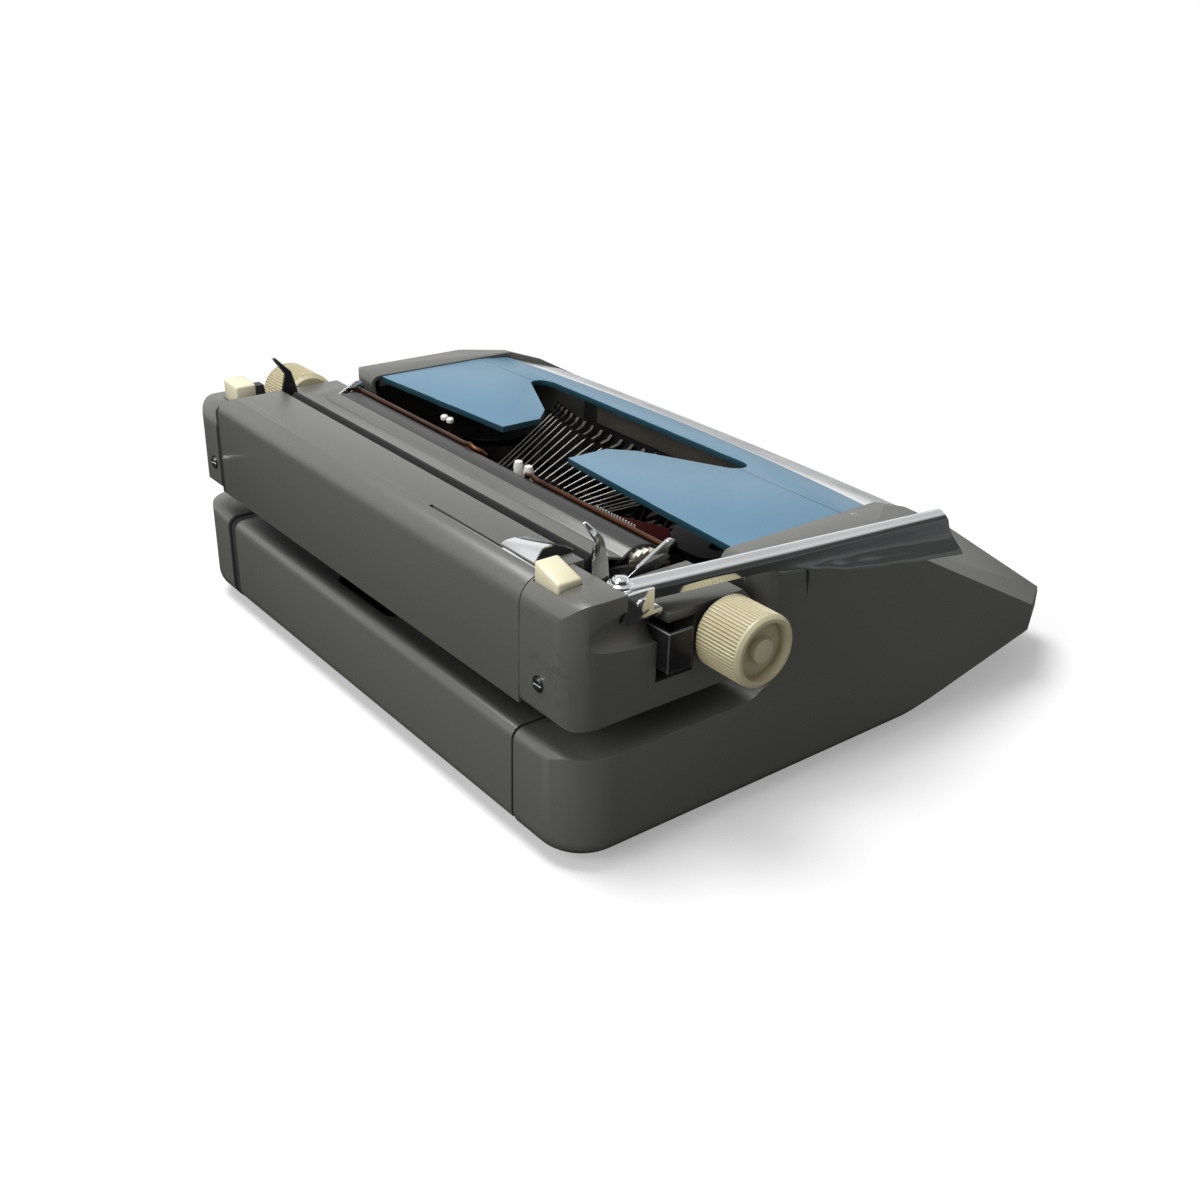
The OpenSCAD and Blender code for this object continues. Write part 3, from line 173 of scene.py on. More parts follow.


# Painted shade in a gap: everything inside a box round a middle point
def gapShadeGroup(look):
    tree, ins, out = makeGroup("openSeam", {"Middle": (0.0, 0.0, 0.0), "Half": (0.001, 0.001, 0.001)}, "Mask")
    size = vectorMath(tree, "ABSOLUTE", vectorMath(tree, "SUBTRACT", ins["Vector"], ins["Middle"]))
    part = splitXyz(tree, vectorMath(tree, "SUBTRACT", size, ins["Half"]))
    worst = mathNode(tree, "MAXIMUM", part["X"], mathNode(tree, "MAXIMUM", part["Y"], part["Z"]))
    feed(tree, out, {"Mask": remap(tree, worst, look["seamSoft"], -look["seamSoft"])})
    return tree


groups = {"wear": edgeWearAndHighlightGroup(groupLook), "enamel": enamelGroup(groupLook), "dust": dustGroup(groupLook),
          "brushed": brushedGroup(groupLook), "scuff": scuffGroup(groupLook), "seam": gapShadeGroup(groupLook)}
print("shader groups built:", len(groups))


def startMaterial(name):
    material = bpy.data.materials.new(name)
    material.use_nodes = True
    tree = material.node_tree
    return material, tree, tree.nodes["Principled BSDF"], addNode(tree, "ShaderNodeTexCoord").outputs["Object"]


def useGroup(tree, name, coords, **values):
    node = addNode(tree, "ShaderNodeGroup", node_tree=groups[name])
    return feed(tree, node, {"Vector": coords, **values}).outputs


def enamelSkin(tree, coords, look):
    return useGroup(tree, "enamel", coords, **{"Grain Scale": look["grainScale"], "Cloud Scale": look["cloudScale"]})


# Places that stand close to other surfaces
def shelterMask(tree, reach, fade):
    shelter = feed(tree, addNode(tree, "ShaderNodeAmbientOcclusion", samples=6), {"Distance": reach})
    return remap(tree, shelter.outputs["AO"], *fade)


# A thin line at a given y between two x ends, for shade painted along a crease
def shadedCreaseMask(tree, coords, crease):
    part = splitXyz(tree, coords)
    off = mathNode(tree, "ABSOLUTE", mathNode(tree, "SUBTRACT", part["Y"], crease["y"]))
    out = mathNode(tree, "ABSOLUTE", mathNode(tree, "SUBTRACT", part["X"], crease["x"]))
    return mathNode(tree, "MULTIPLY", remap(tree, off, *crease["width"]), remap(tree, out, *crease["ends"]))


def finishShader(tree, shader, color, rough, height, look):
    bump = feed(tree, addNode(tree, "ShaderNodeBump"),
                {"Height": height, "Strength": look["bump"], "Distance": look["bumpHeight"]})
    feed(tree, shader, {"Base Color": color, "Roughness": rough, "Normal": bump.outputs[0]})


# Noise values between which a soft cloud goes from one tone to the other
cloudSpan = (0.3, 0.7)
plainPaint = {"grainScale": 1200.0, "cloudScale": 20.0, "wearReach": 0.0006, "patchy": 1.0, "roughSpread": 0.01,
              "dustRough": 0.4, "bumpHeight": 0.0002, "sideFade": (0.35, 0.8)}
plainMetal = {"metal": 1.0, "stretch": (30.0, 300.0, 300.0), "scale": 4.0, "stainSpan": (0.45, 0.75),
              "streak": (0.75, 1.3), "stainRough": 0.25, "bump": 0.05, "bumpHeight": 0.0001}
plainPlastic = {"grainScale": 1400.0, "cloudScale": 40.0, "agedSpan": (0.35, 0.7), "dirtReach": 0.003,
                "dirtFade": (0.95, 0.45), "roughSpread": (-0.05, 0.08), "glow": 0.06,
                "glowReach": (0.003, 0.002, 0.001), "bumpHeight": 0.0001}


def enamelPaint(look):
    look = {**plainPaint, **look}
    material, tree, shader, coords = startMaterial(look["name"])
    skin = enamelSkin(tree, coords, look)
    wear = useGroup(tree, "wear", coords, Reach=look["wearReach"], Patchy=look["patchy"])["Mask"]
    dust = useGroup(tree, "dust", coords)["Mask"]
    color = mixColor(tree, remap(tree, skin["Cloud"], *cloudSpan), look["shade"], look["base"])
    # Painted shade: faces that turn away from up take the darker side colour
    if "side" in look:
        facing = splitXyz(tree, trueNormal(tree))["Z"]
        color = mixColor(tree, remap(tree, facing, *look["sideFade"]), look["side"], color)
    for place, radius, tint, strength in look.get("scuffs", []):
        spot = useGroup(tree, "scuff", coords, Centre=place, Radius=radius)["Mask"]
        color = tinted(tree, color, spot, strength, tint)
    # Painted shade along the crease: a thin line in the side colour
    if "crease" in look:
        creaseShadeLine = shadedCreaseMask(tree, coords, look["crease"])
        color = tinted(tree, color, creaseShadeLine, look["crease"]["depth"], look["side"])
    color = tinted(tree, color, dust, look["dust"], look["dustColor"])
    # Rims take the bare colour: wear, and on the dark plate a painted highlight along every edge
    color = tinted(tree, color, wear, look["wear"], look["bare"])
    spread = look["roughSpread"]
    rough = remap(tree, skin["Cloud"], *cloudSpan, look["rough"] - spread, look["rough"] + spread)
    rough = mathNode(tree, "MULTIPLY_ADD", dust, look["dust"] * look["dustRough"], rough)
    # Painted shade: sheltered places and the gap boxes are painted near-black and rougher
    if "deep" in look:
        shadeMask = shelterMask(tree, look["deepReach"], look["deepFade"])
        for middle, half in look["seams"]:
            seam = useGroup(tree, "seam", coords, Middle=middle, Half=half)["Mask"]
            shadeMask = mathNode(tree, "MAXIMUM", shadeMask, seam)
        color = mixColor(tree, shadeMask, color, look["deep"])
        rough = mathNode(tree, "MULTIPLY_ADD", shadeMask, look["deepRough"] - look["rough"], rough)
    finishShader(tree, shader, color, rough, skin["Height"], look)
    return material


def platedMetal(look):
    look = {**plainMetal, **look}
    material, tree, shader, coords = startMaterial(look["name"])
    shader.inputs["Metallic"].default_value = look["metal"]
    lines = useGroup(tree, "brushed", coords, Stretch=look["stretch"], Scale=look["scale"])
    stain = remap(tree, lines["Smudge"], *look["stainSpan"])
    color = tinted(tree, look["base"], stain, look["stain"], look["dark"])
    streak = remap(tree, lines["Lines"], *cloudSpan, *(look["rough"] * k for k in look["streak"]))
    rough = mathNode(tree, "MULTIPLY_ADD", stain, look["stain"] * look["stainRough"], streak)
    finishShader(tree, shader, color, rough, lines["Lines"], look)
    return material


def mouldedPlastic(look):
    look = {**plainPlastic, **look}
    material, tree, shader, coords = startMaterial(look["name"])
    skin = enamelSkin(tree, coords, look)
    dust = useGroup(tree, "dust", coords)["Mask"]
    color = mixColor(tree, remap(tree, skin["Cloud"], *look["agedSpan"]), look["base"], look["aged"])
    color = tinted(tree, color, shelterMask(tree, look["dirtReach"], look["dirtFade"]), look["dirt"], look["grime"])
    color = tinted(tree, color, dust, look["dust"], look["grime"])
    rough = remap(tree, skin["Cloud"], *cloudSpan, *(look["rough"] + k for k in look["roughSpread"]))
    feed(tree, shader, {"Subsurface Weight": look["glow"], "Subsurface Radius": look["glowReach"]})
    finishShader(tree, shader, color, rough, skin["Height"], look)
    return material


def inkedRibbon(look):
    material, tree, shader, coords = startMaterial(look["name"])
    half = remap(tree, splitXyz(tree, coords)["Z"], *look["join"])
    weave = feed(tree, addNode(tree, "ShaderNodeTexWave"), {"Vector": coords, "Scale": look["weave"]}).outputs["Fac"]
    color = tinted(tree, mixColor(tree, half, look["black"], look["red"]), weave, look["threadShare"], look["thread"])
    finishShader(tree, shader, color, remap(tree, weave, 0.0, 1.0, *look["rough"]), weave, look)
    return material


# Scuffs: place, radius, colour, strength. Gaps painted with shade: middle and half size of each box
paintLook = {
    "body_grey": {
        "name": "greyEnamel", "base": srgb(84, 84, 80), "shade": srgb(83, 83, 79), "bare": srgb(150, 148, 142),
        "dustColor": srgb(150, 148, 140), "grainScale": 1500.0, "cloudScale": 6.0, "wear": 0.3, "dust": 0.02,
        # The near-black colour below paints shade into sheltered places and into the gap boxes
        "rough": 0.34, "bump": 0.05, "deep": srgb(16, 16, 16), "deepReach": 0.03, "deepFade": (0.52, 0.22),
        "deepRough": 0.95,
        "seams": [((0.1262, 0.142, 0.088), (0.0021, 0.016, 0.030)),
                  ((0.1218, 0.150, 0.027), (0.0040, 0.012, 0.026)),
                  ((0.0, 0.1204, 0.101), (0.13, 0.0054, 0.0112))],
        "scuffs": [((-0.149, 0.030, 0.105), 0.012, srgb(96, 92, 86), 0.8),
                   ((-0.140, -0.004, 0.105), 0.004, srgb(205, 203, 198), 0.9),
                   ((-0.152, -0.085, 0.0245), 0.006, srgb(28, 28, 28), 0.9),
                   ((-0.153, -0.066, 0.0195), 0.004, srgb(170, 168, 162), 0.8),
                   ((-0.146, 0.154, 0.084), 0.016, srgb(66, 66, 63), 0.5)]},
    "cover_blue": {
        "name": "blueEnamel", "base": srgb(80, 115, 137), "shade": srgb(79, 114, 136), "bare": srgb(165, 182, 190),
        # The side colour is painted shade on the faces that turn away from up
        "dustColor": srgb(160, 175, 182), "side": srgb(24, 58, 70), "grainScale": 1500.0, "cloudScale": 6.0,
        "wear": 0.4, "dust": 0.02, "rough": 0.4, "bump": 0.05,
        # The crease is a thin line of painted shade in the side colour
        "crease": {"y": -0.003, "x": 0.007, "width": (0.0006, 0.00018), "ends": (0.073, 0.077), "depth": 0.75}},
    "black": {
        "name": "blackEnamel", "base": srgb(22, 22, 22), "shade": srgb(16, 16, 16), "bare": srgb(90, 88, 84),
        "dustColor": srgb(80, 78, 74), "wear": 0.5, "dust": 0.12, "rough": 0.5, "bump": 0.15},
    # Dark plate: full wear on every rim, with no patches, paints a bright highlight along all its edges
    "darkPlate": {
        "name": "darkPlate", "base": srgb(24, 24, 25), "shade": srgb(18, 18, 19), "bare": srgb(225, 226, 226),
        "dustColor": srgb(80, 78, 74), "wearReach": 0.0005, "wear": 1.0, "patchy": 0.0, "dust": 0.05, "rough": 0.35,
        "bump": 0.1},
    "white": {
        "name": "whiteEnamel", "base": srgb(225, 224, 218), "shade": srgb(214, 212, 205), "bare": srgb(150, 148, 142),
        "dustColor": srgb(190, 186, 176), "wear": 0.3, "dust": 0.1, "rough": 0.4, "bump": 0.08},
    "platen_rubber": {
        "name": "platenRubber", "base": srgb(30, 30, 30), "shade": srgb(26, 26, 26), "bare": srgb(50, 50, 48),
        "dustColor": srgb(78, 76, 72), "grainScale": 1800.0, "cloudScale": 12.0, "wear": 0.1, "dust": 0.1,
        "rough": 0.45, "bump": 0.1},
    "foot_rubber": {
        "name": "footRubber", "base": srgb(26, 26, 26), "shade": srgb(20, 20, 20), "bare": srgb(60, 60, 58),
        "dustColor": srgb(90, 88, 84), "grainScale": 800.0, "cloudScale": 30.0, "wear": 0.2, "dust": 0.3,
        "rough": 0.8, "bump": 0.3},
    "lipPaint": {
        "name": "lipPaint", "base": srgb(56, 52, 46), "shade": srgb(46, 43, 38), "bare": srgb(100, 96, 88),
        "dustColor": srgb(90, 86, 80), "cloudScale": 30.0, "wearReach": 0.0004, "wear": 0.2, "dust": 0.05,
        "rough": 0.5, "bump": 0.08},
    "ink": {
        "name": "markInk", "base": srgb(34, 32, 30), "shade": srgb(28, 26, 25), "bare": srgb(90, 86, 80),
        "dustColor": srgb(90, 86, 80), "grainScale": 1800.0, "cloudScale": 60.0, "wearReach": 0.0002, "wear": 0.2,
        "dust": 0.1, "rough": 0.55, "bump": 0.05},
}
metalLook = {
    "chrome": {"name": "chromePlate", "base": srgb(226, 228, 230), "dark": srgb(170, 170, 168),
               "stretch": (60.0, 60.0, 60.0), "stain": 0.15, "rough": 0.06, "bump": 0.01},
    "steel": {"name": "bareSteel", "base": srgb(176, 174, 170), "dark": srgb(88, 84, 78), "stain": 0.6, "rough": 0.26},
    "inner": {"name": "innerSteel", "base": srgb(72, 70, 67), "dark": srgb(38, 36, 33), "stain": 0.7, "rough": 0.42},
    "typeBar": {"name": "typeBarSteel", "base": srgb(190, 187, 180), "dark": srgb(110, 106, 98), "stain": 0.5,
                "rough": 0.5, "metal": 0.35},
    "endWheel": {"name": "endWheel", "base": srgb(206, 200, 186), "dark": srgb(120, 112, 98),
                 "stretch": (300.0, 30.0, 30.0), "stain": 0.5, "rough": 0.28},
    "slug": {"name": "typeSlug", "base": srgb(96, 94, 90), "dark": srgb(24, 22, 20),
             "stretch": (300.0, 300.0, 300.0), "scale": 3.0, "stain": 0.9, "rough": 0.3, "bump": 0.1},
    "bright_trim": {"name": "brushedTrim", "base": srgb(238, 239, 240), "dark": srgb(206, 206, 206),
                    "stretch": (6.0, 900.0, 900.0), "scale": 3.0, "stain": 0.2, "rough": 0.3},
    "bell": {"name": "turnedBrass", "base": srgb(196, 164, 96), "dark": srgb(120, 92, 48),
             "stretch": (60.0, 60.0, 60.0), "stain": 0.5, "rough": 0.22, "bump": 0.03},
    "bronze": {"name": "lacqueredWire", "base": srgb(84, 54, 38), "dark": srgb(40, 24, 17),
               "stretch": (30.0, 200.0, 200.0), "stain": 0.8, "rough": 0.34, "bump": 0.04},
}
plasticLook = {
    "cream": {"name": "creamPlastic", "base": srgb(174, 167, 137), "aged": srgb(164, 155, 123),
              "grime": srgb(122, 108, 78), "dust": 0.06, "dirt": 0.55, "rough": 0.36, "bump": 0.05},
    "paleKey": {"name": "paleKey", "base": srgb(202, 197, 170), "aged": srgb(194, 188, 158),
                "grime": srgb(150, 140, 110), "dust": 0.04, "dirt": 0.4, "rough": 0.34, "bump": 0.04},
}
ribbonLook = {"name": "inkedTape", "red": srgb(80, 6, 9), "black": srgb(18, 18, 20), "thread": srgb(60, 30, 30),
              "join": (0.0837, 0.0843), "weave": 900.0, "threadShare": 0.3, "rough": (0.6, 0.8), "bump": 0.4,
              "bumpHeight": 0.0001}
materials = {"ribbon": inkedRibbon(ribbonLook)}
for make, looks in ((enamelPaint, paintLook), (platedMetal, metalLook), (mouldedPlastic, plasticLook)):
    materials.update({slotName: make(look) for slotName, look in looks.items()})
print("materials built:", len(materials))

smoothUpTo = math.radians(34)
dressed = set()


def finishMesh(mesh, sharpAngle=smoothUpTo):
    mesh.polygons.foreach_set("use_smooth", [True] * len(mesh.polygons))
    mesh.set_sharp_from_angle(angle=sharpAngle)
    mesh.update()
    return mesh


def placePiece(name, mesh, body, slotName, *replaced, look=None):
    piece = bpy.data.objects.new(name, mesh)
    scene.collection.objects.link(piece)
    if not mesh.materials:
        mesh.materials.append(materials[look or slotName])
    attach(piece, body)
    if replaced:
        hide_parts(*replaced)
        dressed.update(replaced)


def plainMesh(obj, name):
    evaluated = obj.evaluated_get(bpy.context.evaluated_depsgraph_get())
    mesh = bpy.data.meshes.new_from_object(evaluated)
    mesh.name = name
    old = obj.data
    kind = bpy.data.curves if obj.type == "FONT" else bpy.data.meshes
    bpy.data.objects.remove(obj)
    kind.remove(old)
    return mesh


def bmMesh(bm, name, sharpAngle=smoothUpTo):
    bmesh.ops.recalc_face_normals(bm, faces=bm.faces)
    mesh = bpy.data.meshes.new(name)
    bm.to_mesh(mesh)
    bm.free()
    return finishMesh(mesh, sharpAngle)


# A copy of a CAD node with its triangles merged and its edges rounded
def softEdged(nodeName, width, segments=2, limit=math.radians(32), flat=math.radians(0.6), change=None):
    bm = bmesh.new()
    bm.from_mesh(nodes[nodeName].data)
    bmesh.ops.remove_doubles(bm, verts=bm.verts, dist=2e-6)
    bmesh.ops.dissolve_limit(bm, angle_limit=flat, verts=bm.verts, edges=bm.edges)
    if change:
        change(bm)
    mesh = bpy.data.meshes.new(nodeName + "Merged")
    bm.to_mesh(mesh)
    bm.free()
    obj = bpy.data.objects.new(nodeName + "Merged", mesh)
    scene.collection.objects.link(obj)
    mesh.materials.clear()
    bevel = obj.modifiers.new("edges", "BEVEL")
    bevel.width = width * mm
    bevel.segments = segments
    bevel.limit_method = "ANGLE"
    bevel.angle_limit = limit
    bevel.use_clamp_overlap = True
    bevel.harden_normals = False
    bpy.context.view_layer.update()
    return finishMesh(plainMesh(obj, nodeName + "Skin"))


# Splits a mesh by a test on each face's middle, in millimetres
def splitMesh(mesh, name, test):
    parts = []
    for wanted in (True, False):
        bm = bmesh.new()
        bm.from_mesh(mesh)
        others = [f for f in bm.faces if test(f.calc_center_median() / mm) != wanted]
        bmesh.ops.delete(bm, geom=others, context="FACES")
        part = bpy.data.meshes.new(name + ("A" if wanted else "B"))
        bm.to_mesh(part)
        bm.free()
        part.materials.clear()
        parts.append(finishMesh(part))
    return parts


def addBox(bm, low, high):
    made = bmesh.ops.create_cube(bm, size=1.0)["verts"]
    for v in made:
        v.co = Vector([(a + b) / 2 + c * (b - a) for a, b, c in zip(low, high, v.co)]) * mm
    return made


# A profile of radius and height, turned about an axis through a place
def addTurned(bm, place, axis, profile, sides=32):
    turn = Vector(axis).normalized().to_track_quat("Z", "Y").to_matrix()
    angles = [2 * math.pi * k / sides for k in range(sides)]
    rings = []
    for r, h in profile:
        spots = [(r * math.cos(a), r * math.sin(a), h) for a in angles] if r > 1e-6 else [(0, 0, h)]
        rings.append([bm.verts.new((Vector(place) + turn @ Vector(spot)) * mm) for spot in spots])
    for low, high in zip(rings, rings[1:]):
        for k in range(sides):
            corners = [low[k % len(low)], low[(k + 1) % len(low)], high[(k + 1) % len(high)], high[k % len(high)]]
            bm.faces.new(list(dict.fromkeys(corners)))


def addLoft(bm, sections):
    rings = [[bm.verts.new(Vector(p) * mm) for p in section] for section in sections]
    count = len(rings[0])
    for low, high in zip(rings, rings[1:]):
        for j in range(count):
            bm.faces.new((low[j], low[(j + 1) % count], high[(j + 1) % count], high[j]))
    bm.faces.new(rings[0])
    bm.faces.new(rings[-1])


def solidPiece(name, body, slotName, boxes=(), turned=(), lofts=(), axis=(0, 0, 1), sides=20, look=None):
    bm = bmesh.new()
    for low, high in boxes:
        addBox(bm, low, high)
    for place, profile in turned:
        addTurned(bm, place, axis, profile, sides)
    for sections in lofts:
        addLoft(bm, sections)
    placePiece(name, bmMesh(bm, name), body, slotName, look=look)


# A soft step from each point of a table to the next
def between(table, x):
    for (x0, y0), (x1, y1) in zip(table, table[1:]):
        if x <= x1:
            k = min(1.0, max(0.0, (x - x0) / (x1 - x0)))
            return y0 + (y1 - y0) * k * k * (3 - 2 * k)
    return table[-1][1]


edgeRadius = {
    "left_side_shell": 1.6, "right_side_shell": 1.6, "rear_panel": 0.6, "front_trim": 0.3, "front_apron": 1.0,
    "ribbon_cover": 0.7, "carriage_cover": 0.5, "left_end_cap": 1.4, "right_end_cap": 1.4, "paper_table": 0.3,
    "platen": 0.6, "platen_shaft": 0.4, "line_ratchet": 0.15, "left_knob": 0.25, "right_knob": 0.25,
    "bail_arms": 0.4, "paper_release_lever": 0.4, "detent_lever": 0.4, "left_margin_key": 0.9,
    "right_margin_key": 0.9, "space_bar": 0.8,
}
nodeLook = {
    "paper_release_lever": "darkPlate", "carriage_rail": "inner", "carriage_bed": "inner", "cross_bars": "inner",
    "left_side_plate": "black", "right_side_plate": "black", "left_end_plate": "inner", "right_end_plate": "inner",
    "key_fulcrum_rod": "inner", "key_comb": "inner", "type_rest": "inner", "ribbon_cups": "inner",
    "margin_rack": "inner", "margin_stops": "inner", "type_segment": "inner", "left_spool": "black",
    "right_spool": "black", "card_holder": "black", "mainspring_drum": "inner", "line_ratchet": "endWheel",
    "left_margin_key": "paleKey", "right_margin_key": "paleKey",
}
for nodeName, width in edgeRadius.items():
    placePiece(nodeName + "_finish", softEdged(nodeName, width), bodyOf[nodeName], slotOf[nodeName], nodeName,
               look=nodeLook.get(nodeName))
print("soft-edged pieces:", len(edgeRadius))

# Return lever: a rolled bar that widens into a scooped blade, lofted along its length
leverLook = {"pivot": (-148.0, 126.0, 103.6), "angle": -107.5, "rise": 0.096, "top": 9.0, "low": 105.6, "from": -5.0,
             "length": 135.0, "steps": 60, "arcSteps": 12, "faceSteps": 8, "noseLength": 5.2, "noseLeast": 0.02,
             "roll": [(-5, 4.5), (60, 4.2), (135, 3.4)], "blade": 1.7, "lean": 0.7, "web": 1.3, "webDrop": 3.0,
             "depth": [(-5, 7.2), (55, 7.0), (67, 9.0), (80, 12.5), (92, 15.2), (105, 16.8), (118, 18.2), (130, 19.0)],
             "scoop": [(-5, 0.0), (60, 0.0), (105, 3.0), (130, 2.6)], "scoopRun": 1.15,
             "open": [(-5, 0.0), (55, 0.0), (80, 1.0)], "shear": 0.62, "shearFrom": 90.0, "shearRun": 40.0,
             "hub": [(5.1, -0.6), (4.6, 0.0), (3.4, 0.2), (3.2, 1.3), (2.4, 2.1), (0.0, 2.4)], "sharp": 50.0}


def leverOutline(look, d):
    roll, depth, scoop, bare = (between(look[k], d) for k in ("roll", "depth", "scoop", "open"))
    arc = [math.pi * (k / look["arcSteps"] - 0.5) for k in range(look["arcSteps"] + 1)]
    run = [k / look["faceSteps"] for k in range(1, look["faceSteps"] + 1)]
    down = [-roll - (depth - roll) * t for t in run]
    face = [roll - look["lean"] * t * bare - scoop * math.sin(math.pi * min(1.0, t * look["scoopRun"])) for t in run]
    web = [roll * look["web"] * max(0.0, 1 - look["webDrop"] * t) for t in run]
    back = [(1 - bare) * -roll + bare * (f - look["blade"] - w) for f, w in zip(face, web)]
    outline = [(roll * math.sin(a), roll * math.cos(a) - roll) for a in arc]
    return outline + list(zip(face, down)) + list(zip(back, down))[::-1]


def leverMesh(look):
    turn = math.radians(look["angle"])
    along = Vector((math.cos(turn), math.sin(turn), 0))
    outer = Vector((math.sin(turn), -math.cos(turn), 0))
    pivot = Vector(look["pivot"])
    sections = []
    for step in range(look["steps"] + 1):
        d = look["from"] + step * look["length"] / look["steps"]
        nose = math.sqrt(max(look["noseLeast"], 1 - (min(0.0, d) / look["noseLength"]) ** 2))
        tail = look["shear"] * min(1.0, max(0.0, (d - look["shearFrom"]) / look["shearRun"]))
        sections.append([pivot + outer * u * nose + along * (d - tail * w)
                         + Vector((0, 0, max(look["low"] - pivot.z, look["top"] + look["rise"] * d + w)))
                         for u, w in leverOutline(look, d)])
    bm = bmesh.new()
    addLoft(bm, sections)
    level = pivot.z + look["top"]
    hub = [(0.0, look["low"]), (look["hub"][0][0], look["low"])] + [(r, level + h) for r, h in look["hub"]]
    addTurned(bm, (pivot.x, pivot.y, 0), (0, 0, 1), hub)
    return bmMesh(bm, "returnLever", math.radians(look["sharp"]))


placePiece("returnLever", leverMesh(leverLook), "return_lever", "chrome", "return_lever")

# The bracket's pin ends inside the lever's hub
bracketLook = {"edge": 0.4, "pinReach": 3.2, "pinTop": 110.4}


def clipPin(bm):
    x, y, z = leverLook["pivot"]
    top = bracketLook["pinTop"] * mm
    for v in bm.verts:
        if math.hypot(v.co.x / mm - x, v.co.y / mm - y) < bracketLook["pinReach"]:
            v.co.z = min(v.co.z, top)


placePiece("leverBracket", softEdged("lever_bracket", bracketLook["edge"], change=clipPin), "carriage", "chrome",
           "lever_bracket")
placePiece("carriageRelease", softEdged("carriage_release", bracketLook["edge"]), "carriage_release",
           slotOf["carriage_release"], "carriage_release", look="darkPlate")
print("levers lofted")

# Keys: cream tops on dark levers, with plain letters and digits on top
keyLook = {"pitch": 19.05, "firstY": -129.0, "stepY": 18.5, "firstZ": 43.5, "stepZ": 11.2, "legend": 5.2, "lift": 0.04,
           "thick": 0.04, "edge": 0.7, "edgeSteps": 3, "capDeep": 6.0, "capHalf": 9.5,
           "rows": [("lower_row", 0.125, "ZXCVBNM,./"), ("home_row", 0.125, "ASDFGHJKL;'"),
                    ("upper_row", -0.125, "QWERTYUIOP-"), ("digit_row", -0.625, "234567890=+")],
           "active": (1, 5), "backspace": (3, 11)}


def keyPlace(look, row, k):
    nodeName, shift, letters = look["rows"][row]
    return ((k - (len(letters) - 1) / 2 + shift) * look["pitch"], look["firstY"] + look["stepY"] * row,
            look["firstZ"] + look["stepZ"] * row)


def legendMesh(look, marks, name):
    bm = bmesh.new()
    for letter, (x, y, z) in marks:
        curve = bpy.data.curves.new("legend", "FONT")
        curve.body = letter
        curve.size = look["legend"] * mm
        curve.extrude = look["thick"] * mm
        curve.align_x = "CENTER"
        curve.align_y = "CENTER"
        obj = bpy.data.objects.new("legend", curve)
        scene.collection.objects.link(obj)
        bpy.context.view_layer.update()
        flat = plainMesh(obj, "legendFlat")
        flat.transform(Matrix.Translation(Vector((x, y, z + look["lift"])) * mm))
        bm.from_mesh(flat)
        bpy.data.meshes.remove(flat)
    return bmMesh(bm, name)


def finishKeys(look):
    marksOf = {}
    for row, (nodeName, shift, letters) in enumerate(look["rows"]):
        marksOf[nodeName] = [(letter, keyPlace(look, row, k)) for k, letter in enumerate(letters)
                             if (row, k) != look["active"]]
    row, k = look["active"]
    marksOf["active_key"] = [(look["rows"][row][2][k], keyPlace(look, row, k))]
    marksOf["backspace_key"] = [("<", keyPlace(look, *look["backspace"]))]
    marksOf["shift_keys"] = []
    for nodeName, marks in marksOf.items():
        middle, level = marks[0][1][1:] if marks else (look["firstY"], look["firstZ"])
        skin = softEdged(nodeName, look["edge"], segments=look["edgeSteps"])
        caps, levers = splitMesh(skin, nodeName, lambda p: p.z >= level - look["capDeep"]
                                 and abs(p.y - middle) < look["capHalf"])
        placePiece(nodeName + "Tops", caps, bodyOf[nodeName], "cream", nodeName)
        placePiece(nodeName + "Levers", levers, bodyOf[nodeName], "steel", look="inner")
        if marks:
            legends = legendMesh(look, marks, nodeName + "Legends")
            placePiece(nodeName + "Legends", legends, bodyOf[nodeName], "black", look="ink")


finishKeys(keyLook)
print("keys finished")

# Type bars: bright slugs at the ends of thin bars
typeLook = {"axis": (7.0, 90.0), "slugRadius": 51.2}


def isSlug(p):
    return math.hypot(p.x - typeLook["axis"][0], p.z - typeLook["axis"][1]) < typeLook["slugRadius"]


for nodeName in ("type_bars", "active_type_bar"):
    slugs, bars = splitMesh(nodes[nodeName].data, nodeName, isSlug)
    placePiece(nodeName + "Slugs", slugs, bodyOf[nodeName], "steel", nodeName, look="slug")
    placePiece(nodeName + "Bars", bars, bodyOf[nodeName], "steel", look="typeBar")
print("type bars split")


# Node trees for what repeats: each takes its sizes and a material, and ends as a plain mesh
def geometryTree(name, **kinds):
    tree = bpy.data.node_groups.new(name, "GeometryNodeTree")
    for label, kind in {"Geometry": "Geometry", **kinds, "Material": "Material"}.items():
        tree.interface.new_socket(label, in_out="INPUT", socket_type="NodeSocket" + kind)
    tree.interface.new_socket("Geometry", in_out="OUTPUT", socket_type="NodeSocketGeometry")
    return tree, addNode(tree, "NodeGroupInput").outputs, addNode(tree, "NodeGroupOutput")


def closeTree(tree, ins, out, geometry):
    realize = feed(tree, addNode(tree, "GeometryNodeRealizeInstances"), {0: geometry})
    paint = feed(tree, addNode(tree, "GeometryNodeSetMaterial"),
                 {"Geometry": realize.outputs[0], "Material": ins["Material"]})
    feed(tree, out, {"Geometry": paint.outputs[0]})
    return tree


def wireTree():
    tree, ins, out = geometryTree("roundWire", Radius="Float", Sides="Int")
    curve = feed(tree, addNode(tree, "GeometryNodeMeshToCurve"), {"Mesh": ins["Geometry"]})
    ring = feed(tree, addNode(tree, "GeometryNodeCurvePrimitiveCircle"),
                {"Radius": ins["Radius"], "Resolution": ins["Sides"]})
    sweep = feed(tree, addNode(tree, "GeometryNodeCurveToMesh"),
                 {"Curve": curve.outputs[0], "Profile Curve": ring.outputs[0], "Fill Caps": True})
    return closeTree(tree, ins, out, sweep.outputs[0])


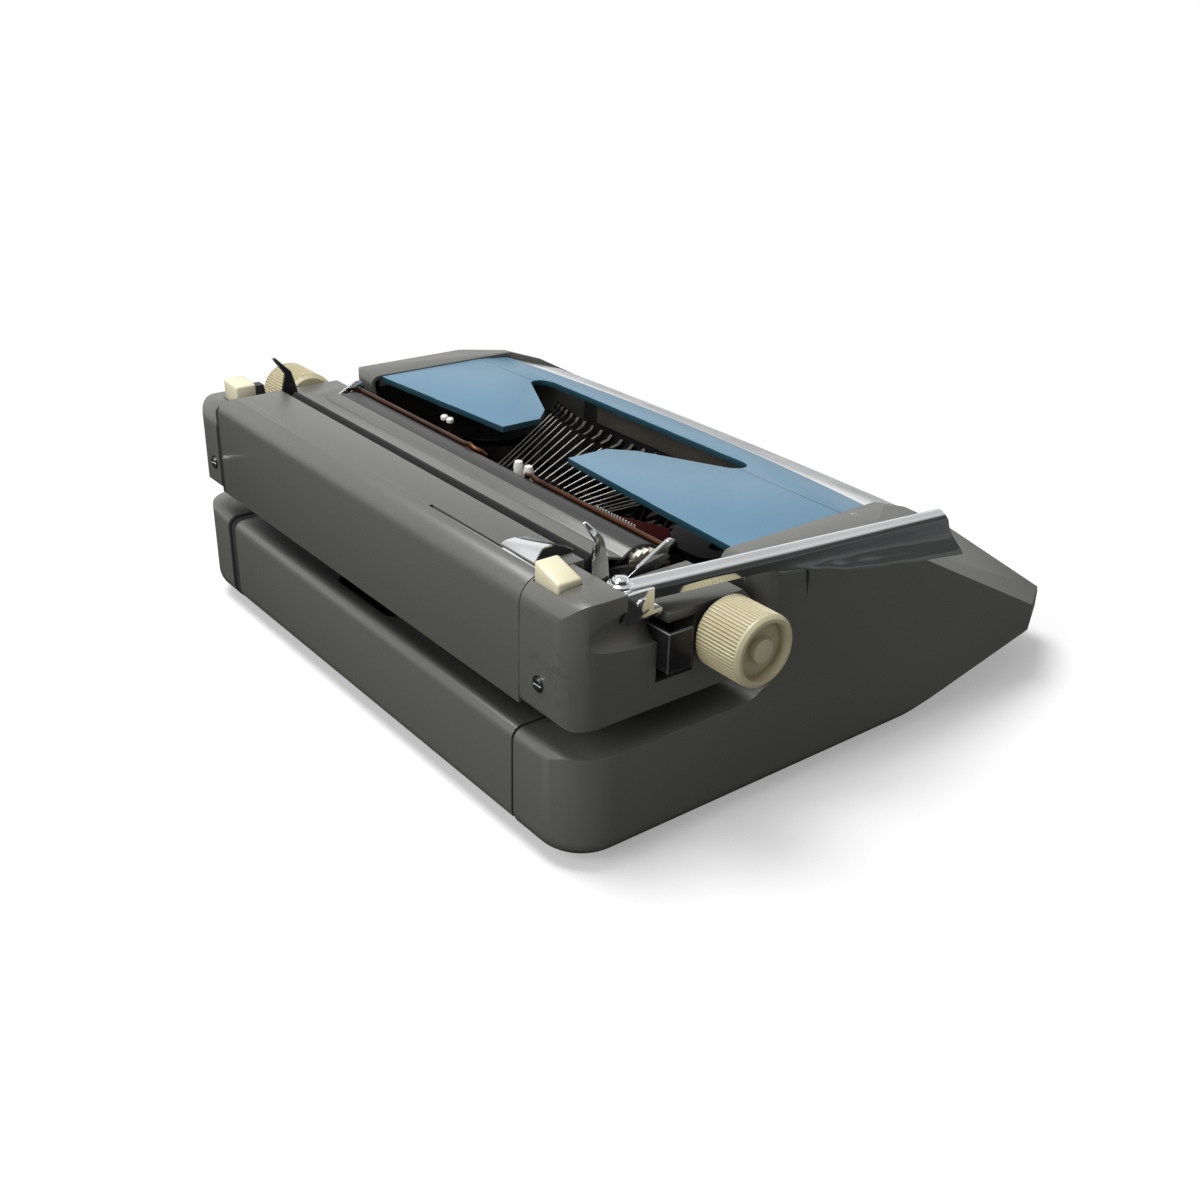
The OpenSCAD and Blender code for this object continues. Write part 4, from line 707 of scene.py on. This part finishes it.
def pointedAlong(tree, ins, shape):
    facing = feed(tree, addNode(tree, "GeometryNodeInputNamedAttribute", data_type="FLOAT_VECTOR"), {"Name": "facing"})
    turn = feed(tree, addNode(tree, "FunctionNodeAlignRotationToVector", axis="Z"),
                {"Vector": facing.outputs["Attribute"]})
    place = feed(tree, addNode(tree, "GeometryNodeInstanceOnPoints"),
                 {"Points": ins["Geometry"], "Instance": shape, "Rotation": turn.outputs[0]})
    return place.outputs[0]


def blockTree():
    tree, ins, out = geometryTree("blocksOnPoints", Size="Vector")
    block = feed(tree, addNode(tree, "GeometryNodeMeshCube"), {"Size": ins["Size"]})
    return closeTree(tree, ins, out, pointedAlong(tree, ins, block.outputs[0]))


def screwTree():
    tree, ins, out = geometryTree("slottedScrews", Radius="Float", Height="Float", Slot="Vector")
    head = feed(tree, addNode(tree, "GeometryNodeMeshCylinder"),
                {"Vertices": 32, "Radius": ins["Radius"], "Depth": ins["Height"]})
    slot = feed(tree, addNode(tree, "GeometryNodeMeshCube"), {"Size": ins["Slot"]})
    lift = feed(tree, addNode(tree, "ShaderNodeCombineXYZ"), {"Z": mathNode(tree, "MULTIPLY", ins["Height"], 0.5)})
    move = feed(tree, addNode(tree, "GeometryNodeTransform"),
                {"Geometry": slot.outputs[0], "Translation": lift.outputs[0]})
    cut = feed(tree, addNode(tree, "GeometryNodeMeshBoolean", operation="DIFFERENCE"),
               {"Mesh 1": head.outputs[0], "Mesh 2": move.outputs[0]})
    return closeTree(tree, ins, out, pointedAlong(tree, ins, cut.outputs[0]))


trees = {"wire": wireTree(), "block": blockTree(), "screw": screwTree()}
print("node trees built:", len(trees))


def runTree(tree, mesh, name, values):
    obj = bpy.data.objects.new(name, mesh)
    scene.collection.objects.link(obj)
    modifier = obj.modifiers.new(name, "NODES")
    modifier.node_group = tree
    for item in tree.interface.items_tree:
        if item.item_type == "SOCKET" and item.in_out == "INPUT" and item.name in values:
            modifier[item.identifier] = values[item.name]
    bpy.context.view_layer.update()
    return finishMesh(plainMesh(obj, name + "Mesh"))


def treePiece(name, treeName, mesh, body, slotName, *replaced, **values):
    placePiece(name, runTree(trees[treeName], mesh, name, values), body, slotName, *replaced)


def pathMesh(paths, name):
    mesh = bpy.data.meshes.new(name)
    verts, edges = [], []
    for path in paths:
        edges += [(len(verts) + k, len(verts) + k + 1) for k in range(len(path) - 1)]
        verts += [Vector(p) * mm for p in path]
    mesh.from_pydata(verts, edges, [])
    return mesh


def pointMesh(points, facings, name):
    mesh = bpy.data.meshes.new(name)
    mesh.from_pydata([Vector(p) * mm for p in points], [], [])
    facing = mesh.attributes.new("facing", "FLOAT_VECTOR", "POINT")
    for k, value in enumerate(facings):
        facing.data[k].vector = value
    return mesh


def sizesInMetres(sizes):
    return [v * mm for v in sizes]


# Type bars as the window shows them: bright bars that rise to an arc of slugs under the cover
fanLook = {"centre": 7.0, "half": 64.0, "count": 21, "rootRadius": 54.0, "rootY": 62.0, "axisZ": 90.0,
           "kneeRadius": 44.0, "kneeY": 38.0, "kneeSweep": 9.0, "kneeZ": 80.0,
           "tipRadius": 72.0, "tipY": 2.0, "tipSweep": -12.0, "tipZ": 91.0, "barRadius": 0.27, "rootWire": 0.8,
           "sides": 8, "slugSize": (2.0, 2.6, 5.5), "slugLift": 1.2, "slugs": [(-1.5, 0.18), (1.5, 0.9)]}


def fanPoints(look, angle):
    s, c = math.sin(angle), math.cos(angle)
    root = Vector((look["centre"] + look["rootRadius"] * s, look["rootY"], look["axisZ"] - look["rootRadius"] * c))
    knee = Vector((look["centre"] + look["kneeRadius"] * s, look["kneeY"] + look["kneeSweep"] * s * s, look["kneeZ"]))
    tip = Vector((look["centre"] + look["tipRadius"] * s, look["tipY"] + look["tipSweep"] * s * s, look["tipZ"]))
    return root, knee, tip


def typeFan(look):
    last = look["count"] - 1
    rays = [fanPoints(look, math.radians(look["half"] * (2 * k / last - 1))) for k in range(look["count"])]
    treePiece("fanBars", "wire", pathMesh([(knee, tip) for root, knee, tip in rays], "fanBars"), "basket", "steel",
              Radius=look["barRadius"] * mm, Sides=look["sides"], Material=materials["typeBar"])
    treePiece("fanRoots", "wire", pathMesh([(root, knee) for root, knee, tip in rays], "fanRoots"), "basket", "steel",
              Radius=look["rootWire"] * mm, Sides=look["sides"], Material=materials["inner"])
    points, facings = [], []
    for root, knee, tip in rays:
        along = (tip - knee).normalized()
        for step, tilt in look["slugs"]:
            points.append(tip + along * step + Vector((0, 0, look["slugLift"])))
            facings.append(Vector((along.x, along.y, tilt)).normalized())
    treePiece("fanSlugs", "block", pointMesh(points, facings, "fanSlugs"), "basket", "steel",
              Size=sizesInMetres(look["slugSize"]), Material=materials["slug"])


typeFan(fanLook)

# Under the window: the cover's turned-down lip, and behind it a black sheet that paints the shade under the lip
lipLook = {"lip": ((-70.0, -15.1, 91.0), (44.0, -14.2, 102.4)), "curtain": ((-84.0, -17.4, 72.0), (58.0, -16.4, 99.4))}
solidPiece("windowLip", "ribbon_cover", "body_grey", boxes=[lipLook["lip"]], look="lipPaint")
solidPiece("dustCurtain", "frame", "black", boxes=[lipLook["curtain"]])

# Screws in the end caps, each on a black disc that paints the shade of its recess
screwLook = {"caps": [(134.3, 155.0, 76.5), (-139.1, 155.0, 76.8)], "radius": 2.3, "height": 1.2, "headOut": 0.35,
             "slot": (6.0, 0.7, 1.0), "recess": [(0.0, -0.3), (3.4, -0.3), (3.4, 0.08), (0.0, 0.08)], "sides": 32}


def capScrews(look):
    rearward = (0, 1, 0)
    solidPiece("capRecesses", "carriage", "black", turned=[(place, look["recess"]) for place in look["caps"]],
               axis=rearward, sides=look["sides"])
    heads = [(x, y + look["headOut"], z) for x, y, z in look["caps"]]
    treePiece("capScrews", "screw", pointMesh(heads, [rearward] * len(heads), "capScrews"), "carriage", "chrome",
              Radius=look["radius"] * mm, Height=look["height"] * mm, Slot=sizesInMetres(look["slot"]),
              Material=materials["chrome"])


capScrews(screwLook)

# White fork, scale ticks and guide posts at the printing point; turned profiles are radius and height
markLook = {"fork": [(-1.0, 61.0), (7.0, 61.0)], "armHalf": 1.4, "armFrom": -1.0, "armTo": 69.0, "armZ": (86.8, 88.6),
            "lobe": [(0.0, 88.0), (2.2, 88.0), (2.4, 94.6), (1.8, 96.8), (0.0, 97.6)],
            "tickFrom": -59.0, "tickStep": -1.9, "ticks": 14, "tickY": 66.0, "tickZ": 95.6,
            "tickSize": (0.6, 0.45, 4.4), "backMargin": 3.0, "backY": (66.25, 66.9), "backZ": (79.6, 96.6),
            "posts": [(78.7, 56.0), (73.5, 56.0)], "rod": [(0.0, 84.0), (1.5, 84.0), (1.5, 96.0), (0.0, 96.0)],
            "rodCap": [(0.0, 96.05), (1.9, 96.05), (1.9, 97.6), (1.2, 98.3), (0.0, 98.4)]}


def printingMarks(look):
    half, (low, high) = look["armHalf"], look["armZ"]
    solidPiece("forkLobes", "ribbon_vibrator", "white", turned=[((x, y, 0), look["lobe"]) for x, y in look["fork"]],
               boxes=[((x - half, y + look["armFrom"], low), (x + half, look["armTo"], high)) for x, y in look["fork"]])
    ticks = [(look["tickFrom"] + k * look["tickStep"], look["tickY"], look["tickZ"]) for k in range(look["ticks"])]
    treePiece("scaleTicks", "block", pointMesh(ticks, [(0, 0, 1)] * len(ticks), "scaleTicks"), "frame", "white",
              Size=sizesInMetres(look["tickSize"]), Material=materials["white"])
    ends = (ticks[-1][0] - look["backMargin"], ticks[0][0] + look["backMargin"])
    solidPiece("scaleBack", "frame", "black", boxes=[tuple(zip(ends, look["backY"], look["backZ"]))])
    solidPiece("postRods", "frame", "steel", turned=[((x, y, 0), look["rod"]) for x, y in look["posts"]], look="inner")
    solidPiece("postCaps", "frame", "white", turned=[((x, y, 0), look["rodCap"]) for x, y in look["posts"]])


printingMarks(markLook)

# Paper bail: two wires whose inner ends bend down on either side of the printing point
bailLook = {"outer": 121.8, "near": -27.0, "far": 14.0, "y": 80.76, "z": 104.94, "radius": 1.15, "sides": 16,
            "bend": [(-8.0, 0.0, 0.0), (-4.0, -0.1, 0.7), (0.0, 0.0, 0.0), (2.8, -2.16, -1.28), (4.0, -3.6, -3.2)]}


def bailWires(look):
    y, z = look["y"], look["z"]
    paths = []
    for start, inner, sign in ((-look["outer"], look["near"], 1), (look["outer"], look["far"], -1)):
        paths.append([(start, y, z)] + [(inner + sign * dx, y + dy, z + dz) for dx, dy, dz in look["bend"]])
    treePiece("bailWires", "wire", pathMesh(paths, "bailWires"), "paper_bail", "bronze", "bail_wires",
              Radius=look["radius"] * mm, Sides=look["sides"], Material=materials["bronze"])


bailWires(bailLook)

# Paper support: its blade stays down in the slot, a bent hood at its end is the thumb tab
tabLook = {"far": -98.0, "near": -119.2, "rise": (0.9, 5.2), "rear": 142.6, "front": (131.0, 123.5), "level": 113.62,
           "sheet": 0.7, "steps": 8, "bladeTop": 113.2, "bladeEdge": 0.15, "hollowFrom": 0.96, "hollowOut": 0.06,
           "arch": [(0.0, 0.0), (0.10, 0.55), (0.16, 0.85), (0.24, 0.97), (0.36, 1.0), (0.52, 0.94), (0.72, 0.66),
                    (0.88, 0.32), (1.0, 0.0)]}


def tabSection(look, t, inset=0.0):
    h = look["rise"][0] + (look["rise"][1] - look["rise"][0]) * t - inset
    rear = look["rear"] - inset
    front = look["front"][0] + (look["front"][1] - look["front"][0]) * t + inset
    x = look["far"] + (look["near"] - look["far"]) * t
    return [(x, rear + (front - rear) * u, look["level"] + h * v) for u, v in look["arch"]]


def supportTab(look):
    def sink(bm):
        for v in bm.verts:
            v.co.z = min(v.co.z, look["bladeTop"] * mm)
    placePiece("supportBlade", softEdged("paper_support", look["bladeEdge"], change=sink), "paper_support", "chrome",
               "paper_support")
    hood = [tabSection(look, k / look["steps"]) for k in range(look["steps"] + 1)]
    solidPiece("supportTab", "paper_support", "chrome", lofts=[hood])
    # A black plug in the hood's open end, inset by the sheet's thickness, paints the shade inside the hood
    mouth = [(x - look["hollowOut"], y, z) for x, y, z in tabSection(look, 1.0, look["sheet"])]
    solidPiece("tabHollow", "paper_support", "black",
               lofts=[[tabSection(look, look["hollowFrom"], look["sheet"]), mouth]])


supportTab(tabLook)

# Inked tape, lifted to the height at which it shows in front of the platen
tapeLook = {"top": 92.0}


def inkedTape(look):
    mesh = nodes["ribbon"].data.copy()
    mesh.materials.clear()
    lift = look["top"] * mm - max(v.co.z for v in mesh.vertices)
    mesh.transform(Matrix.Translation((0, 0, lift)))
    placePiece("inkedTape", finishMesh(mesh), "frame", "ribbon", "ribbon")


inkedTape(tapeLook)

# Black lug in front of the right margin key, narrower at its top
lugLook = {"low": (129.5, 126.8, 104.0), "high": (141.0, 131.2, 112.0), "middleZ": 108.0, "top": (132.0, 137.5)}


def keyLug(look):
    bm = bmesh.new()
    left, right = look["top"]
    for v in addBox(bm, look["low"], look["high"]):
        if v.co.z > look["middleZ"] * mm:
            v.co.x = max(left, min(right, v.co.x / mm)) * mm
    placePiece("keyLug", bmMesh(bm, "keyLug"), "carriage", "black")


keyLug(lugLook)
print("details built")
for nodeName, obj in nodes.items():
    if nodeName not in dressed:
        obj.data.materials.clear()
        obj.data.materials.append(materials[nodeLook.get(nodeName, slotOf[nodeName])])
print("solids with materials only:", len(nodes) - len(dressed))

# Camera at the photograph's place
camLook = {"azimuth": 230.64, "elevation": 26.93, "roll": 1.98, "target": (-0.08982, 0.08269, 0.060),
           "distance": 0.56645, "lens": 40.73, "sensor": 36.0, "nearest": 0.01, "principal": (609.42, 621.94),
           "frame": 1200.0}


def photoCamera(look):
    az, el, roll = (math.radians(look[k]) for k in ("azimuth", "elevation", "roll"))
    back = Vector((math.cos(el) * math.sin(az), -math.cos(el) * math.cos(az), math.sin(el)))
    right = Vector((math.cos(az), math.sin(az), 0.0))
    up = back.cross(right)
    turned = right * math.cos(roll) + up * math.sin(roll)
    upright = up * math.cos(roll) - right * math.sin(roll)
    matrix = Matrix((turned, upright, back)).transposed().to_4x4()
    matrix.translation = Vector(look["target"]) + back * look["distance"]
    data = bpy.data.cameras.new("photoCamera")
    data.sensor_width = look["sensor"]
    data.lens = look["lens"]
    data.shift_x = (look["frame"] / 2 - look["principal"][0]) / look["frame"]
    data.shift_y = (look["principal"][1] - look["frame"] / 2) / look["frame"]
    data.clip_start = look["nearest"]
    camera = bpy.data.objects.new("photoCamera", data)
    camera.matrix_world = matrix
    scene.collection.objects.link(camera)
    scene.camera = camera


photoCamera(camLook)

# Studio: pale floor that fades to white, soft lamps, a dimmer place behind the camera for the reflections
studioLook = {"floorColor": (0.80, 0.80, 0.80, 1.0), "bounceColor": (0.34, 0.34, 0.34, 1.0), "bounceDim": -0.6,
              "reach": 6.0, "fade": (0.16, 0.30), "veil": 0.3, "mirrored": (0.02, 0.10), "mirroredY": (0.06, -0.12),
              "worldLight": 0.42, "behind": (-0.773, 0.634, 0.0), "behindFade": (-0.2, 0.5),
              "farSide": (0.3, 0.7, 1.0, 0.65), "nearSide": (0.5, 0.95, 0.06, 0.95), "aim": (0.0, 0.0, 0.06),
              "lamps": [{"name": "keyLamp", "place": (0.22, 0.34, 1.5), "size": 0.8, "watts": 25.0},
                        {"name": "fillLamp", "place": (-0.15, 1.4, 0.8), "size": 1.0, "watts": 13.0}]}
white = (1, 1, 1, 1)


def studioWorld(look):
    world = bpy.data.worlds.new("studioWorld")
    scene.world = world
    world.use_nodes = True
    tree = world.node_tree
    tree.nodes.clear()
    path = addNode(tree, "ShaderNodeLightPath").outputs
    direction = addNode(tree, "ShaderNodeTexCoord").outputs["Generated"]
    turn = remap(tree, vectorMath(tree, "DOT_PRODUCT", direction, look["behind"]), *look["behindFade"])
    height = splitXyz(tree, direction)["Z"]
    far = remap(tree, height, *look["farSide"])
    near = remap(tree, height, *look["nearSide"])
    shine = mathNode(tree, "MULTIPLY_ADD", turn, mathNode(tree, "SUBTRACT", near, far), far)
    shine = mathNode(tree, "MULTIPLY", shine, path["Is Glossy Ray"])
    seen = mathNode(tree, "MAXIMUM", path["Is Camera Ray"], path["Is Transmission Ray"])
    other = mathNode(tree, "SUBTRACT", 1.0, mathNode(tree, "MAXIMUM", seen, path["Is Glossy Ray"]))
    level = mathNode(tree, "MULTIPLY_ADD", other, look["worldLight"], mathNode(tree, "MAXIMUM", shine, seen))
    sky = feed(tree, addNode(tree, "ShaderNodeBackground"), {"Color": white, "Strength": level})
    feed(tree, addNode(tree, "ShaderNodeOutputWorld"), {"Surface": sky.outputs[0]})


def floorMaterial(look):
    material = bpy.data.materials.new("paleFloor")
    material.use_nodes = True
    tree = material.node_tree
    tree.nodes.clear()
    part = splitXyz(tree, addNode(tree, "ShaderNodeTexCoord").outputs["Object"])
    away = mathNode(tree, "MAXIMUM", mathNode(tree, "ABSOLUTE", part["X"]), mathNode(tree, "ABSOLUTE", part["Y"]))
    path = addNode(tree, "ShaderNodeLightPath").outputs
    color = mixColor(tree, path["Is Diffuse Ray"], look["floorColor"], look["bounceColor"])
    matt = feed(tree, addNode(tree, "ShaderNodeBsdfDiffuse"), {"Color": color})
    level = mathNode(tree, "MULTIPLY_ADD", path["Is Diffuse Ray"], look["bounceDim"], 1.0)
    lower = mathNode(tree, "SUBTRACT", remap(tree, part["Y"], *look["mirroredY"], *look["mirrored"]), 1.0)
    level = mathNode(tree, "MULTIPLY_ADD", path["Is Glossy Ray"], lower, level)
    glow = feed(tree, addNode(tree, "ShaderNodeEmission"), {"Color": white, "Strength": level})
    fade = remap(tree, away, *look["fade"], look["veil"], 1.0)
    mix = feed(tree, addNode(tree, "ShaderNodeMixShader"),
               {0: mathNode(tree, "MAXIMUM", fade, path["Is Glossy Ray"]), 1: matt.outputs[0], 2: glow.outputs[0]})
    feed(tree, addNode(tree, "ShaderNodeOutputMaterial"), {"Surface": mix.outputs[0]})
    return material


def studioFloor(look):
    r = look["reach"]
    mesh = bpy.data.meshes.new("studioFloor")
    mesh.from_pydata([(-r, -r, 0), (r, -r, 0), (r, r, 0), (-r, r, 0)], [], [(0, 1, 2, 3)])
    mesh.materials.append(floorMaterial(look))
    floor = bpy.data.objects.new("studioFloor", mesh)
    scene.collection.objects.link(floor)


def studioLamps(look):
    for lamp in look["lamps"]:
        data = bpy.data.lights.new(lamp["name"], "AREA")
        data.shape = "DISK"
        data.size = lamp["size"]
        data.energy = lamp["watts"]
        obj = bpy.data.objects.new(lamp["name"], data)
        obj.location = lamp["place"]
        obj.rotation_euler = (Vector(lamp["place"]) - Vector(look["aim"])).to_track_quat("Z", "Y").to_euler()
        scene.collection.objects.link(obj)


scene.view_settings.view_transform = "Standard"
studioWorld(studioLook)
studioFloor(studioLook)
studioLamps(studioLook)
print("camera and studio set")
